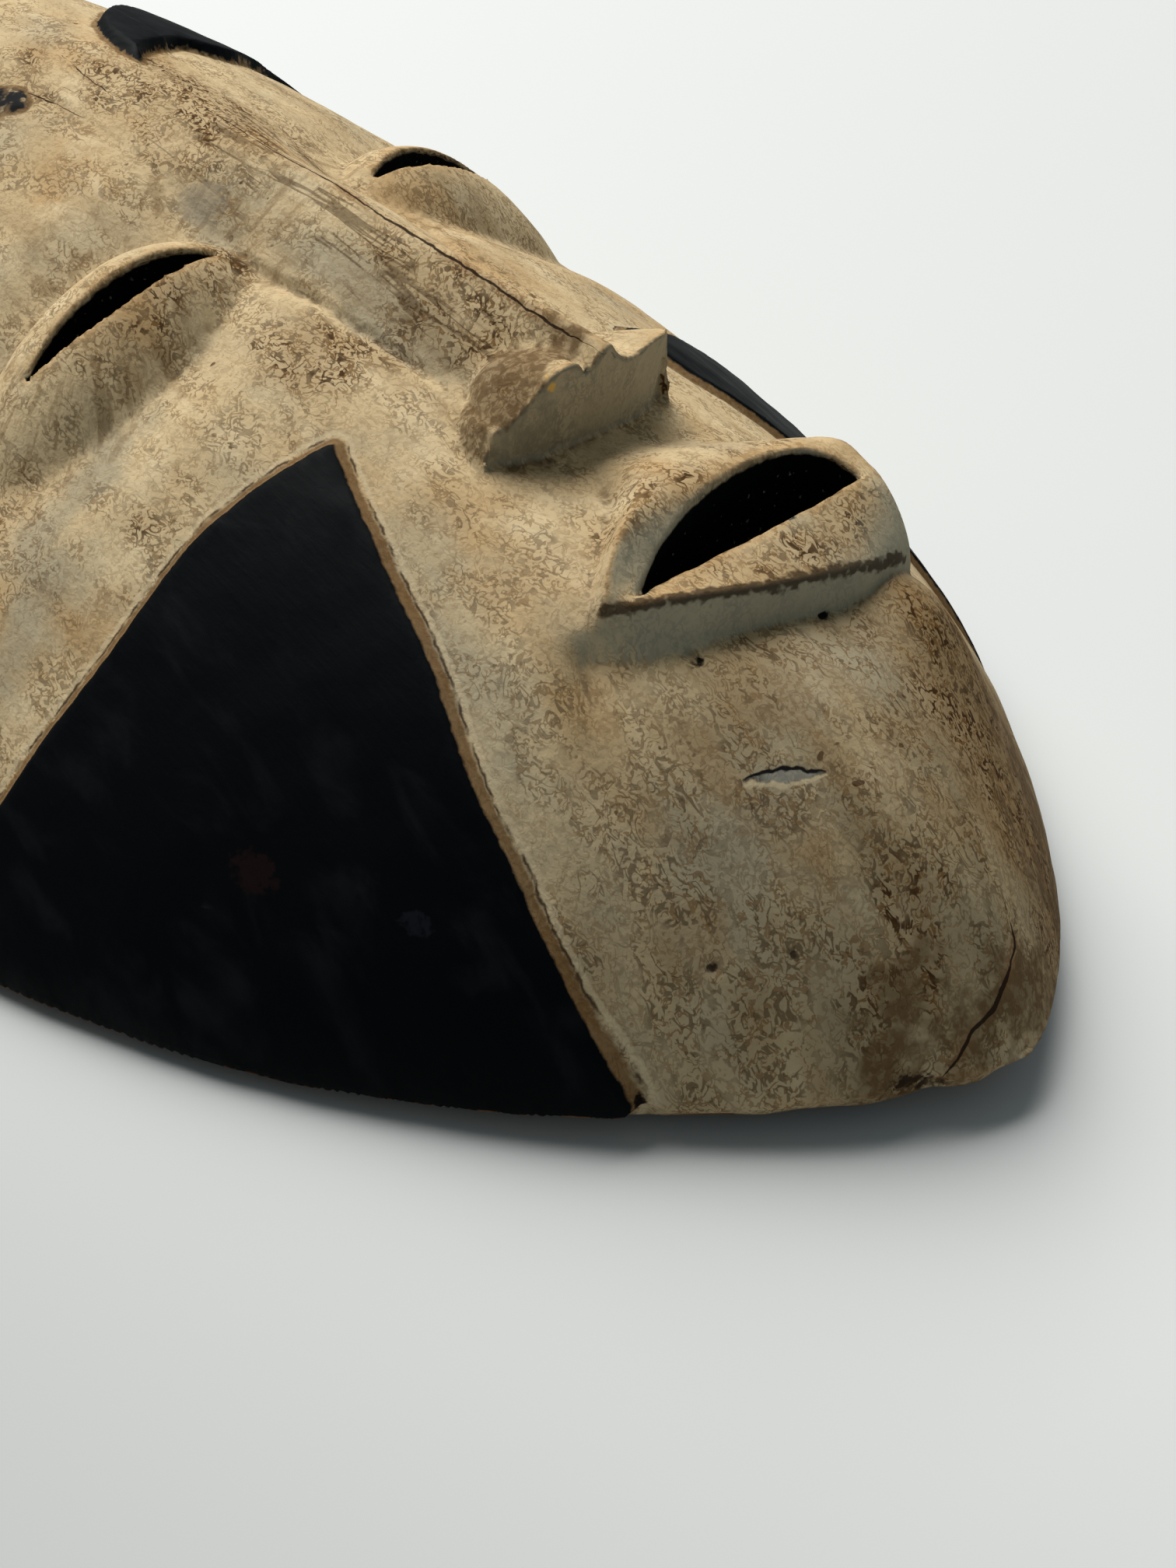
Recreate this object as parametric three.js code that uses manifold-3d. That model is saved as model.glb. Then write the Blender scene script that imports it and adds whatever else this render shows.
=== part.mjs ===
// A carved wooden face mask, lying face up on its back rim.
// +Z comes out of the face, +Y runs to the forehead and +X to the mask's own left cheek.
// The origin is on the resting plane, below the middle of the mask.
import * as THREE from "three";
import { mergeVertices } from "three/addons/utils/BufferGeometryUtils.js";
import Module from "manifold-3d";

// Outline of the whole mask, in millimetres
const LENGTH = 305; // chin end to the top of the forehead
const WIDTH = 212; // cheek to cheek
const WIDEST_Y = 31.5; // where the mask is widest
const CHIN_BOW = [2.03, 1.36]; // exponents of the outline below the widest place
const TOP_BOW = [2.4, 2.0]; // and above it
const RIM_HEIGHT = 10; // how high the edge stands before the face begins to rise
const EDGE_ROUND = 3; // rounding of the edge where it turns under to the back
const EDGE_TURN = 14; // exponent that rolls the face over into the edge
const PLAIN_FROM = 0.8; // the carved hollows fade out from here to the edge, as a share of the width

// The plain dome that the features are carved on
const BROW_Y = 112; // highest place of the forehead
const BROW_HEIGHT = 97.5; // its height over the resting plane
const CHIN_Y = -89.5; // below here the chin falls away to the edge
const CHIN_DROP = 32.9; // how much lower the dome is at CHIN_Y
const DOME_BOW = 1.5; // how evenly it falls from the brow to the chin
const CHIN_FALL = [2.19, 0.5]; // exponents of the drop at the chin end
const TOP_FALL = [2.3, 0.5]; // and at the forehead end
const CHEEK_SECTION = 1.8; // exponent of the cross-section at the cheeks
const FOREHEAD_SECTION = 1.87; // and at the forehead

// Nose: a keel that widens into two wings and ends in a flat cut
const NOSE_CUT_Y = -59; // foot of the flat cut, above the upper lip
const NOSE_LEAN = 0.65; // how far the cut leans out in the middle, for each millimetre of height
const NOSE_LEAN_SIDE = 0.12; // and at the wings
const LEAN_FROM = [-12, 0]; // the lean begins to fade here towards the right and the left wing
const LEAN_REACH = 20; // how far up the nose the lean goes
const NOSE_TIP = 13.4; // height of the keel over the dome, at the cut
const NOSE_ROOT = 3.6; // and between the eyes and the brows
const NOSE_ROOT_Y = 38;
const NOSE_END_Y = 100; // where the keel has sunk into the forehead
const NOSE_BOW = 1.6; // how late the keel gains its height
const BRIDGE_HALF = 14.5; // half width of the keel
const WING_HALF = 18; // half width over the wings
const WING_RISE = 12.5; // height of the wings over the dome, at the cut
const WING_SLOPE = 0.3; // share of that height lost towards the outer side
const WING_LENGTH = 20;
const WING_TRIM = 0.5; // the wings are this much shorter at the outer side
const KEEL_SLOPE = 0.85; // how roundly the keel falls off to its sides
const NOSE_SEAM = 0.6; // the nose's side edge lies this much below the face
const NOSE_DIP = { deep: 2.2, y: -62, reach: 9 }; // the face is sunk a little just below the nose

// Eyes: almond lids in shallow sockets, each with a slit cut through
const EYE = { x: 34.5, y: 13, half: 16, arch: 4.8, sag: 1.2, turn: 0.18 };
const EYE_SKEW = 3; // the left eye sits this much higher than the middle, the right one lower
const LID = { out: 4, half: 24.5, tall: 14.5, rise: 9.5, sunk: 5 };
const SOCKET = { half: 42, tall: 30, deep: 4.5, flat: 0.3 };

// Mouth: a muzzle with a half-moon opening over a shelf of a lower lip
const MOUTH = { right: -20.5, left: 23, rightY: -93, leftY: -94.5, arch: 9, slow: 2.7, blunt: 16 };
const MUZZLE_X = 1.7; // middle of the muzzle
const MUZZLE_HALF = 25.8; // half width, out to the creases beside the mouth
const MUZZLE_FLANK = 0.65; // its flank begins to round off this far out
const MUZZLE_FLANK_LEFT = 0.93; // and more squarely at the left
const MUZZLE_NECK = 17; // half width where it begins, below the nose
const MUZZLE_TOP_Y = -62;
const MUZZLE_NECK_Y = -70; // it begins to widen here
const MUZZLE_FULL_Y = -90; // from here down it has its full width
const UPPER_LIP_RISE = 6.3; // over the middle of the dome, at the upper edge of the mouth
const LOWER_LIP_RISE = 4.5; // at its lower edge
const LIP_EDGE_RISE = 2.2; // and at the lip's front edge
const LIP_FULLNESS = 0.7; // how much rounder the lower lip swells towards the left corner
const LIP_FRONT_X = 12; // foremost point of the lip's front edge
const LIP_FRONT_Y = -105.3;
const LIP_BOW = 0.0105; // how much the front edge curves back, per millimetre squared
const LIP_HOLLOW = 3.5; // how deep the chin is cut in below the lip
const CHIN_RUN = 12; // how far that hollow runs out over the chin
const UNDER_LIP = [14, 4]; // and it grows from here to here under the lip
const SEAM = 0.6; // the muzzle's outer edge lies this much below the face

// Raised black fields: a triangle on each cheek and a crescent for each brow
const PANEL_LIFT = 1.2;
const PANEL = { tip: [28, -38], rimSide: [116, -22], chinSide: [47, -130], bow: 3 };
const BROW_LIFT = 3;
const LEFT_BROW = { inner: [3, 76], outer: [60, 74], arch: 3, thick: 13, hook: 9 };
const RIGHT_BROW = { inner: [15, 70], outer: [62, 67], arch: 4, thick: 9, hook: 1 };
const HOOK_REACH = 8; // how far out the hook of a brow's inner end goes
const BROW_BLUNT = 1 / 12; // the inner end is rounded off over this share of its length
const BROW_SINK = 0.4; // the thin outline of a brow lies this much below the face

// Hollow back
const WALL = 13; // width of the flat rim that the mask lies on
const THICKNESS = 22; // wall behind the face, straight down from its middle
const ROOF_BOW = [2.2, 0.75]; // exponents of the hollow's cross-section
const CHIN_LIFT = 7; // the chin end of the rim is cut away by this much
const CHIN_LIFT_Y = -52;

// Fineness of the nets of points
const COLUMNS = 34;
const ROWS = 46;
const NOSE_NET = [12, 14];
const LID_NET = [12, 12];
const MUZZLE_NET = [18, 16];
const BROW_NET = [14, 6];
const HOLLOW_NET = [16, 20];
const SLIT_STEPS = 12;
const PANEL_STEPS = 10;
const ROOT = 9; // how deep a raised piece goes into the face below it
const BELOW = 5; // cutters start this far under the resting plane
const ABOVE = 130; // and end over the highest carving
const SLIT_FOOT = 12; // the slits are cut from this height up

const wasm = await Module();
wasm.setup();

const clamp = (v) => Math.min(Math.max(v, 0), 1);
const ease = (from, to, v) => {
  const t = clamp((v - from) / (to - from));
  return t * t * (3 - 2 * t);
};
const bell = (v, centre, reach) => Math.exp(-(((v - centre) / reach) ** 2));
const mix = THREE.MathUtils.lerp;
const quarter = (v) => Math.sqrt(Math.max(1 - v * v, 0));

// Half the width of the mask at a place along its length
function halfWidth(y) {
  const half = LENGTH / 2;
  if (y < WIDEST_Y) {
    const t = clamp((WIDEST_Y - y) / (WIDEST_Y + half));
    return (WIDTH / 2) * (1 - t ** CHIN_BOW[0]) ** (1 / CHIN_BOW[1]);
  }
  const t = clamp((y - WIDEST_Y) / (half - WIDEST_Y));
  return (WIDTH / 2) * (1 - t ** TOP_BOW[0]) ** (1 / TOP_BOW[1]);
}

// Height of the dome along the middle line
function crown(y) {
  const half = LENGTH / 2;
  const below = Math.max(BROW_Y - y, 0) / (BROW_Y - CHIN_Y);
  const chin = clamp((CHIN_Y - y) / (half + CHIN_Y));
  const top = clamp((y - BROW_Y) / (half - BROW_Y));
  const plain = BROW_HEIGHT - CHIN_DROP * below ** DOME_BOW;
  return plain * (1 - chin ** CHIN_FALL[0]) ** CHIN_FALL[1] * (1 - top ** TOP_FALL[0]) ** TOP_FALL[1];
}

// How far the underside of the rim is cut away towards the chin
function chinLift(y) {
  return CHIN_LIFT * clamp((CHIN_LIFT_Y - y) / (LENGTH / 2 + CHIN_LIFT_Y)) ** 2;
}

// The dome without features, where g runs from 0 on the middle line to 1 at the edge
function dome(g, y) {
  const section = mix(CHEEK_SECTION, FOREHEAD_SECTION, ease(2, 82, y));
  const rise = Math.max(crown(y) - RIM_HEIGHT, 0) * (1 - g ** section);
  const edge = EDGE_ROUND + chinLift(y);
  return edge + rise + (RIM_HEIGHT - edge) * Math.sqrt(1 - g ** EDGE_TURN);
}

// An eye's own axes: u runs outwards along the slit, v towards the forehead
function eyeAxes(x, y) {
  const sign = Math.sign(x) || 1;
  const du = Math.abs(x) - EYE.x;
  const dv = y - EYE.y - sign * EYE_SKEW;
  const c = Math.cos(EYE.turn);
  const s = Math.sin(EYE.turn);
  return [du * c + dv * s, dv * c - du * s];
}

// A place given on an eye's own axes, in the plan view
function eyePlace(side, u, v) {
  const c = Math.cos(EYE.turn);
  const s = Math.sin(EYE.turn);
  return [side * (EYE.x + u * c - v * s), EYE.y + side * EYE_SKEW + u * s + v * c];
}

// The front edge of the lower lip
function lipFront(x) {
  return LIP_FRONT_Y + LIP_BOW * (x - LIP_FRONT_X) ** 2;
}

// How deep the eye sockets are cut into the dome
function socket(x, y) {
  const [u, v] = eyeAxes(x, y);
  const off = Math.hypot((u - LID.out) / SOCKET.half, v / SOCKET.tall);
  return SOCKET.deep * (1 - ease(SOCKET.flat, 1, off));
}

// What is cut into the dome: the eye sockets, a dip below the nose and the chin below the lip
function hollows(x, y) {
  const off = Math.abs(x - MUZZLE_X) / MUZZLE_HALF;
  const dip = bell(y, NOSE_DIP.y, NOSE_DIP.reach) * (1 - ease(0.3, 0.9, off));
  const past = lipFront(x) - y;
  const run = past > 0 ? Math.exp(-((past / CHIN_RUN) ** 1.5)) : ease(-UNDER_LIP[0], -UNDER_LIP[1], past);
  const chin = run * (1 - ease(0.2, 1, off));
  return -socket(x, y) - NOSE_DIP.deep * dip - LIP_HOLLOW * chin;
}

// How far out a place lies: 0 on the middle line and 1 on the mask's edge
function outward(x, y) {
  const half = halfWidth(y);
  return half > Math.abs(x) ? Math.abs(x) / half : 1;
}

// Height of the face at a place in the plan view, before anything is raised on it
function face(x, y) {
  const g = outward(x, y);
  return dome(g, y) + hollows(x, y) * (1 - ease(PLAIN_FROM, 1, g));
}

// The nose, over the dome; s runs from -1 to 1 across it
function nosePoint(s, row) {
  const reach = WING_LENGTH * (1 - WING_TRIM * s * s);
  const along = clamp((row - NOSE_CUT_Y) / reach);
  const wing = 1 - ease(0.15, 1, along);
  const down = clamp((NOSE_ROOT_Y - row) / (NOSE_ROOT_Y - NOSE_CUT_Y));
  const keel = mix(NOSE_ROOT, NOSE_TIP, down ** NOSE_BOW) * (1 - ease(NOSE_ROOT_Y, NOSE_END_Y, row));
  const half = mix(WING_HALF, BRIDGE_HALF, ease(NOSE_CUT_Y + 5, NOSE_CUT_Y + WING_LENGTH, row));
  const x = s * half;
  const ridge = keel * (1 - ease(0.1, 1, Math.abs(x) / BRIDGE_HALF) ** KEEL_SLOPE);
  const rise = Math.max(ridge, WING_RISE * wing * (1 - WING_SLOPE * ease(0.5, 1, Math.abs(s))));
  const aside = Math.max(ease(LEAN_FROM[1], WING_HALF, x), ease(-LEAN_FROM[0], WING_HALF, -x));
  const lean = mix(NOSE_LEAN, NOSE_LEAN_SIDE, aside) * bell(row, NOSE_CUT_Y, LEAN_REACH);
  const y = row - lean * rise;
  return [x, y, dome(outward(x, y), y) - socket(x, y) + rise - NOSE_SEAM * Math.abs(s) ** 4];
}

// One eyelid, over the socket; s and t run from -1 to 1 across and along it
function lidPoint(side, s, t) {
  const a = (t * Math.PI) / 2;
  const v = LID.tall * Math.sin(a);
  const u = LID.half * Math.cos(a) * s + LID.out;
  const [x, y] = eyePlace(side, u, v);
  const swell = Math.sqrt(Math.max(1 - (s * Math.cos(a)) ** 2 - Math.sin(a) ** 2, 0));
  return [x, y, dome(outward(x, y), y) + LID.rise * swell - LID.sunk];
}

// The muzzle over the dome: s runs across it, t from the lip's front edge up to the nose
function muzzlePoint(s, t) {
  const full = MUZZLE_X + s * MUZZLE_HALF;
  const y = mix(lipFront(full), MUZZLE_TOP_Y, t);
  const narrow = mix(1, MUZZLE_NECK / MUZZLE_HALF, ease(MUZZLE_FULL_Y, MUZZLE_NECK_Y, y));
  const x = MUZZLE_X + s * MUZZLE_HALF * narrow;
  const mouthY = mix(MOUTH.rightY, MOUTH.leftY, clamp((x - MOUTH.right) / (MOUTH.left - MOUTH.right)));
  const fromEdge = clamp((y - lipFront(x)) / Math.max(mouthY - lipFront(x), 1));
  const bulge = mix(fromEdge, quarter(1 - fromEdge), ease(0, MUZZLE_HALF, x) * LIP_FULLNESS);
  const lower = mix(LIP_EDGE_RISE, LOWER_LIP_RISE, bulge);
  const toUpper = ease(mouthY, mouthY + MOUTH.arch, y);
  const philtrum = ease(MUZZLE_TOP_Y, mouthY + MOUTH.arch, y);
  const rise = y < mouthY + MOUTH.arch ? mix(lower, UPPER_LIP_RISE, toUpper) : UPPER_LIP_RISE * philtrum;
  const square = mix(MUZZLE_FLANK, MUZZLE_FLANK_LEFT, ease(-0.5, 0.5, s));
  const flank = quarter(clamp((Math.abs(s) - square) / (1 - square)));
  const ground = face(x, y) - SEAM;
  const level = mix(ground, crown(y), ease(MUZZLE_NECK_Y, mouthY + 4, y)) + rise;
  return [x, y, mix(ground, level, flank)];
}

// One brow: s runs across it, t from the inner end to the outer one
function browPoint(side, s, t) {
  const brow = side > 0 ? LEFT_BROW : RIGHT_BROW;
  const x = mix(brow.inner[0], brow.outer[0], t);
  const middle = mix(brow.inner[1], brow.outer[1], t) + brow.arch * Math.sin(Math.PI * t ** 0.7);
  const half = (brow.thick / 2) * quarter(t ** 1.5) * quarter(clamp(1 - t / BROW_BLUNT) * 0.8);
  const hook = brow.hook * bell(x, brow.inner[0], HOOK_REACH) * Math.max(-s, 0);
  const y = middle + s * half - hook;
  const end = Math.min(1, 0.3 + 8 * t, 1.6 * (1 - t));
  return [side * x, y, face(x * side, y) + BROW_LIFT * quarter(Math.abs(s) ** 3) * end - BROW_SINK];
}

// Equal steps from -1 to 1
function evenSteps(count) {
  return Array.from({ length: count + 1 }, (_, i) => (2 * i) / count - 1);
}

// Steps from -1 to 1 that are closer together at both ends
function endSteps(count) {
  return evenSteps(count).map((t) => Math.sin((Math.PI / 2) * t));
}

// Steps from -1 to 1 for the whole front: closer at both ends, and even between
function frontSteps(count) {
  return evenSteps(count).map((t) => 0.6 * t + 0.4 * Math.sin((Math.PI / 2) * t));
}

// The rows of the front, with two more at either end where the outline turns quickly
function frontRows() {
  const steps = frontSteps(ROWS);
  const step = steps[1] + 1;
  const ends = [0.08, 0.35].map((share) => 1 - share * step);
  return [-1, -ends[0], -ends[1], ...steps.slice(1, -1), ends[1], ends[0], 1];
}

// A closed solid over a net of points: its top, its sides and its underside
function netSolid(rows, columns, top, under) {
  const points = [];
  const faces = [];
  const across = columns.length;
  const layer = rows.length * across;
  for (const make of [top, under]) {
    for (const row of rows) {
      for (const u of columns) points.push(...make(u, row));
    }
  }
  const quad = (a, b, c, d) => faces.push(a, b, c, a, c, d);
  for (let r = 0; r + 1 < rows.length; r++) {
    for (let c = 0; c + 1 < across; c++) {
      const a = r * across + c;
      quad(a, a + 1, a + across + 1, a + across);
      quad(layer + a, layer + a + across, layer + a + across + 1, layer + a + 1);
    }
    const left = r * across;
    const right = left + across - 1;
    quad(left, left + across, layer + left + across, layer + left);
    quad(right + across, right, layer + right, layer + right + across);
  }
  const last = (rows.length - 1) * across;
  for (let c = 0; c + 1 < across; c++) {
    quad(c + 1, c, layer + c, layer + c + 1);
    quad(last + c, last + c + 1, layer + last + c + 1, layer + last + c);
  }
  return solid(points, faces);
}

// Points and faces as a manifold solid, with equal points joined and empty faces dropped
function solid(points, faces) {
  const raw = new THREE.BufferGeometry();
  raw.setAttribute("position", new THREE.Float32BufferAttribute(points, 3));
  raw.setIndex(faces);
  const merged = mergeVertices(raw, 1e-3);
  const index = merged.index.array;
  const kept = [];
  for (let i = 0; i < index.length; i += 3) {
    const [a, b, c] = [index[i], index[i + 1], index[i + 2]];
    if (a !== b && b !== c && c !== a) kept.push(a, b, c);
  }
  return new wasm.Manifold(
    new wasm.Mesh({
      numProp: 3,
      vertProperties: merged.attributes.position.array,
      triVerts: new Uint32Array(kept),
    }),
  );
}

// A straight block that stands on an outline in the plan view
function prism(outline, low, high) {
  const shape = new THREE.Shape(outline.map(([x, y]) => new THREE.Vector2(x, y)));
  const block = new THREE.ExtrudeGeometry(shape, { depth: high - low, bevelEnabled: false });
  block.translate(0, 0, low);
  block.deleteAttribute("normal");
  block.deleteAttribute("uv");
  const merged = mergeVertices(block, 1e-3);
  return solid(Array.from(merged.attributes.position.array), Array.from(merged.index.array));
}

// The plain front with its hollows, raised by a little where a black field stands proud
function front(lift) {
  const half = LENGTH / 2;
  const top = (u, v) => {
    const row = v * half;
    const x = u * halfWidth(row);
    return [x + (Math.sign(u) * lift * Math.abs(u) ** 8) / 2, row, face(x, row) + lift];
  };
  const under = (u, v) => {
    const row = v * half;
    const inner = Math.max(halfWidth(row) - EDGE_ROUND, 0);
    const end = half - EDGE_ROUND;
    return [u * inner, THREE.MathUtils.clamp(row, -end, end), chinLift(row)];
  };
  return netSolid(frontRows(), frontSteps(COLUMNS), top, under);
}

// A raised piece whose foot goes straight down into the face
function raised(rows, columns, top) {
  const under = (u, v) => {
    const [x, y] = top(u, v);
    return [x, y, face(x, y) - ROOT];
  };
  return netSolid(rows, columns, top, under);
}

function nose() {
  const [across, along] = NOSE_NET;
  const rows = Array.from({ length: along + 1 }, (_, i) => mix(NOSE_CUT_Y, NOSE_END_Y, (i / along) ** 1.6));
  const under = (s, row) => {
    const [x] = nosePoint(s, row);
    return [x, row, face(x, row) - ROOT];
  };
  return netSolid(rows, evenSteps(across), nosePoint, under);
}

function lid(side) {
  const [across, along] = LID_NET;
  const steps = endSteps(across).map((s) => side * s);
  return raised(evenSteps(along), steps, (s, t) => lidPoint(side, s, t));
}

function muzzle() {
  const [across, along] = MUZZLE_NET;
  const rows = Array.from({ length: along + 1 }, (_, i) => i / along);
  return raised(rows, frontSteps(across), muzzlePoint);
}

function brow(side) {
  const [along, across] = BROW_NET;
  const steps = Array.from({ length: along + 1 }, (_, i) => (i / along) ** 1.3);
  const columns = side > 0 ? steps : steps.reverse();
  return raised(evenSteps(across), columns, (t, s) => browPoint(side, s, t));
}

// The room behind the face: the outline drawn in by the wall, domed to the wall's thickness
function hollow() {
  const [across, along] = HOLLOW_NET;
  const half = LENGTH / 2;
  const inX = 1 - WALL / (WIDTH / 2);
  const inY = 1 - WALL / half;
  const roof = (u, v) => {
    const rise = Math.max(crown(v * half) - THICKNESS, 0) * (1 - Math.abs(u) ** ROOF_BOW[0]) ** ROOF_BOW[1];
    return [u * halfWidth(v * half) * inX, v * half * inY, rise];
  };
  const floor = (u, v) => [u * halfWidth(v * half) * inX, v * half * inY, -BELOW];
  return netSolid(endSteps(along), endSteps(across), roof, floor);
}

// The slit of one eye in the plan view; side is +1 for the left eye and -1 for the right one
function eyeSlit(side) {
  const upper = [];
  const lower = [];
  for (const t of evenSteps(SLIT_STEPS)) {
    const belly = 1 - t * t;
    upper.push(eyePlace(side, t * EYE.half, EYE.arch * belly));
    if (belly > 0) lower.unshift(eyePlace(side, t * EYE.half, -EYE.sag * belly));
  }
  return [...upper, ...lower];
}

// The mouth: straight below, arched above, and fuller towards the left corner
function mouthOpening() {
  const outline = [];
  for (let i = 0; i <= SLIT_STEPS; i++) {
    const t = i / SLIT_STEPS;
    const arch = MOUTH.arch * (1 - (1 - t) ** MOUTH.slow) * (1 - t ** MOUTH.blunt);
    outline.push([mix(MOUTH.right, MOUTH.left, t), mix(MOUTH.rightY, MOUTH.leftY, t) + arch]);
  }
  return outline;
}

// The black cheek triangle: two slightly bowed sides from its tip, and the mask's edge
function cheekPanel(side) {
  const bowed = (from, to, bow) =>
    Array.from({ length: PANEL_STEPS + 1 }, (_, i) => {
      const t = i / PANEL_STEPS;
      const belly = 4 * t * (1 - t);
      return [mix(from[0], to[0], t) + bow[0] * belly, mix(from[1], to[1], t) + bow[1] * belly];
    });
  const upper = bowed(PANEL.rimSide, PANEL.tip, [0, PANEL.bow]);
  const lower = bowed(PANEL.tip, PANEL.chinSide, [PANEL.bow, 0]);
  return [...upper, ...lower.slice(1), [WIDTH, PANEL.chinSide[1]]].map(([x, y]) => [side * x, y]);
}

function carve() {
  let mask = front(0).add(nose()).add(muzzle());
  for (const side of [1, -1]) {
    mask = mask.add(front(PANEL_LIFT).intersect(prism(cheekPanel(side), -BELOW, ABOVE)));
    mask = mask.add(brow(side));
    mask = mask.add(lid(side)).subtract(prism(eyeSlit(side), SLIT_FOOT, ABOVE));
  }
  mask = mask.subtract(prism(mouthOpening(), SLIT_FOOT, ABOVE));
  return mask.subtract(hollow());
}

function geometryOf(made) {
  const net = made.getMesh();
  const geometry = new THREE.BufferGeometry();
  geometry.setAttribute("position", new THREE.BufferAttribute(net.vertProperties, 3));
  geometry.setIndex(new THREE.BufferAttribute(net.triVerts, 1));
  geometry.computeVertexNormals();
  return geometry;
}

const paintedWood = new THREE.MeshStandardMaterial({ color: 0xae9b7b, roughness: 0.85, metalness: 0 });
const mask = new THREE.Mesh(geometryOf(carve()), paintedWood);
mask.name = "mask";

const group = new THREE.Group();
group.add(mask);
export default group;
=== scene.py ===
# %% [markdown]
# # A carved and painted wooden mask
#
# The real mask is one block of light wood. A carver shaped the outside with an adze and a knife,
# hollowed the back so that it can be worn, and painted it with white clay and black paint, which
# years of handling have stained and worn. This lesson builds it in the same order: the block, what
# is cut into it, the wear, and last the paint. It starts from the measured frame, which holds the
# mask's solid at its real size in metres. The sizes below are in millimetres, as a carver has them.

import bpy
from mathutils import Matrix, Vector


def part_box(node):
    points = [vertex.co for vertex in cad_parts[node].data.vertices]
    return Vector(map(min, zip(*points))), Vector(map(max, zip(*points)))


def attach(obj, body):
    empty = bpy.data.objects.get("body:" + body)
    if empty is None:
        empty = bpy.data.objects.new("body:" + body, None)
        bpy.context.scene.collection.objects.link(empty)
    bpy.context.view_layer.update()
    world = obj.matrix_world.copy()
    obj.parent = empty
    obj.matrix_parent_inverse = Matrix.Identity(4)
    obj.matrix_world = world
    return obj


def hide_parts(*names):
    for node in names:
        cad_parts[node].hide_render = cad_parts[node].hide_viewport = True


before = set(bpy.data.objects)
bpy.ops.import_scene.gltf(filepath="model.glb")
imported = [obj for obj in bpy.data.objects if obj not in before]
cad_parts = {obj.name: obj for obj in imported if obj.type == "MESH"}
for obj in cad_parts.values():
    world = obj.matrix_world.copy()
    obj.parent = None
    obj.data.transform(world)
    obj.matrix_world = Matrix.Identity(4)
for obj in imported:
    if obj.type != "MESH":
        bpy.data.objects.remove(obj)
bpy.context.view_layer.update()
lowest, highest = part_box("mask")
print("nodes", sorted(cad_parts), "box", [round(v, 4) for v in (*lowest, *highest)])

import math

import bpy
import numpy as np
from mathutils import Matrix, Vector
from mathutils.bvhtree import BVHTree

MM = 0.001
LENGTH = (highest.y - lowest.y) / MM
WIDTH = (highest.x - lowest.x) / MM
HALF = LENGTH / 2
print(f"the mask is {LENGTH:.1f} mm long and {WIDTH:.1f} mm wide")

# %% [markdown]
# ## The shape of the face
#
# A carver thinks of a face as a smooth dome with hollows cut in and a few parts left standing. The
# same idea works in numbers: one curve for the outline, one for the height along the middle line,
# and one that rounds the dome down to the edge. Sculpting by hand would also do, but formulas keep
# every dimension exact, and one number changes it later.

# %% Helpers for curves
TINY = 1e-6


def clamp(value):
    return np.clip(value, 0, 1)


def ease(start, end, value):
    """0 before start, 1 after end and a soft change between; start may be the larger one."""
    t = clamp((value - start) / (end - start))
    return t * t * (3 - 2 * t)


def bell(value, centre, reach):
    return np.exp(-(((value - centre) / reach) ** 2))


def mix(first, second, share):
    return first + (second - first) * share


def bow(value, powers):
    """From 1 at 0 to 0 at 1, bent by two powers; 2 and a half give a circle."""
    return (1 - value ** powers[0]) ** powers[1]


def quarter(value):
    """A quarter circle: 1 at 0 and 0 at 1."""
    return np.sqrt(np.maximum(1 - value * value, 0))

# %% [markdown]
# ## The dome
#
# Seen from the front the mask is an almond, widest a little above the eyes. Seen from the side it
# is highest at the brow and falls off to the chin. Drawn curves could hold both, but a formula gives
# the height at any place at once, and every later part of the face asks for it. A pair named TURN
# holds the two places between which a value changes.

# %% The dome
WIDEST_Y = 31.5
CHIN_BOW = (2.03, 1 / 1.36)
TOP_BOW = (2.4, 1 / 2)
RIM_HEIGHT = 10
EDGE_ROUND = 3
EDGE_BOW = 14
PLAIN_FROM = 0.8
BROW_Y = 112
BROW_HEIGHT = 97.5
CHIN_Y = -89.5
CHIN_DROP = 32.9
DOME_BOW = 1.5
CHIN_FALL = (2.19, 0.5)
TOP_FALL = (2.3, 0.5)
SECTION_BOW = (1.8, 1.87)
SECTION_TURN = (2, 82)
CHIN_LIFT = 7
CHIN_LIFT_Y = -52


def half_width(y):
    """Half the mask's width at a place along its length."""
    below = clamp((WIDEST_Y - y) / (WIDEST_Y + HALF))
    above = clamp((y - WIDEST_Y) / (HALF - WIDEST_Y))
    return WIDTH / 2 * np.where(y < WIDEST_Y, bow(below, CHIN_BOW), bow(above, TOP_BOW))


def crown(y):
    """Height of the dome along the middle line."""
    below = np.maximum(BROW_Y - y, 0) / (BROW_Y - CHIN_Y)
    chin = clamp((CHIN_Y - y) / (HALF + CHIN_Y))
    top = clamp((y - BROW_Y) / (HALF - BROW_Y))
    return (BROW_HEIGHT - CHIN_DROP * below**DOME_BOW) * bow(chin, CHIN_FALL) * bow(top, TOP_FALL)


def chin_lift(y):
    """How far the rim's underside is cut away towards the chin."""
    return CHIN_LIFT * clamp((CHIN_LIFT_Y - y) / (HALF + CHIN_LIFT_Y)) ** 2


def outward(x, y):
    """0 on the middle line and 1 on the mask's edge."""
    half = half_width(y)
    return np.where(half > np.abs(x), np.abs(x) / np.maximum(half, TINY), 1.0)


def dome(g, y):
    section = mix(*SECTION_BOW, ease(*SECTION_TURN, y))
    rise = np.maximum(crown(y) - RIM_HEIGHT, 0) * (1 - g**section)
    edge = EDGE_ROUND + chin_lift(y)
    return edge + rise + (RIM_HEIGHT - edge) * np.sqrt(1 - g**EDGE_BOW)


print(f"dome height at the brow {crown(BROW_Y):.1f} mm, at the chin {crown(-120.0):.1f} mm")

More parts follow.
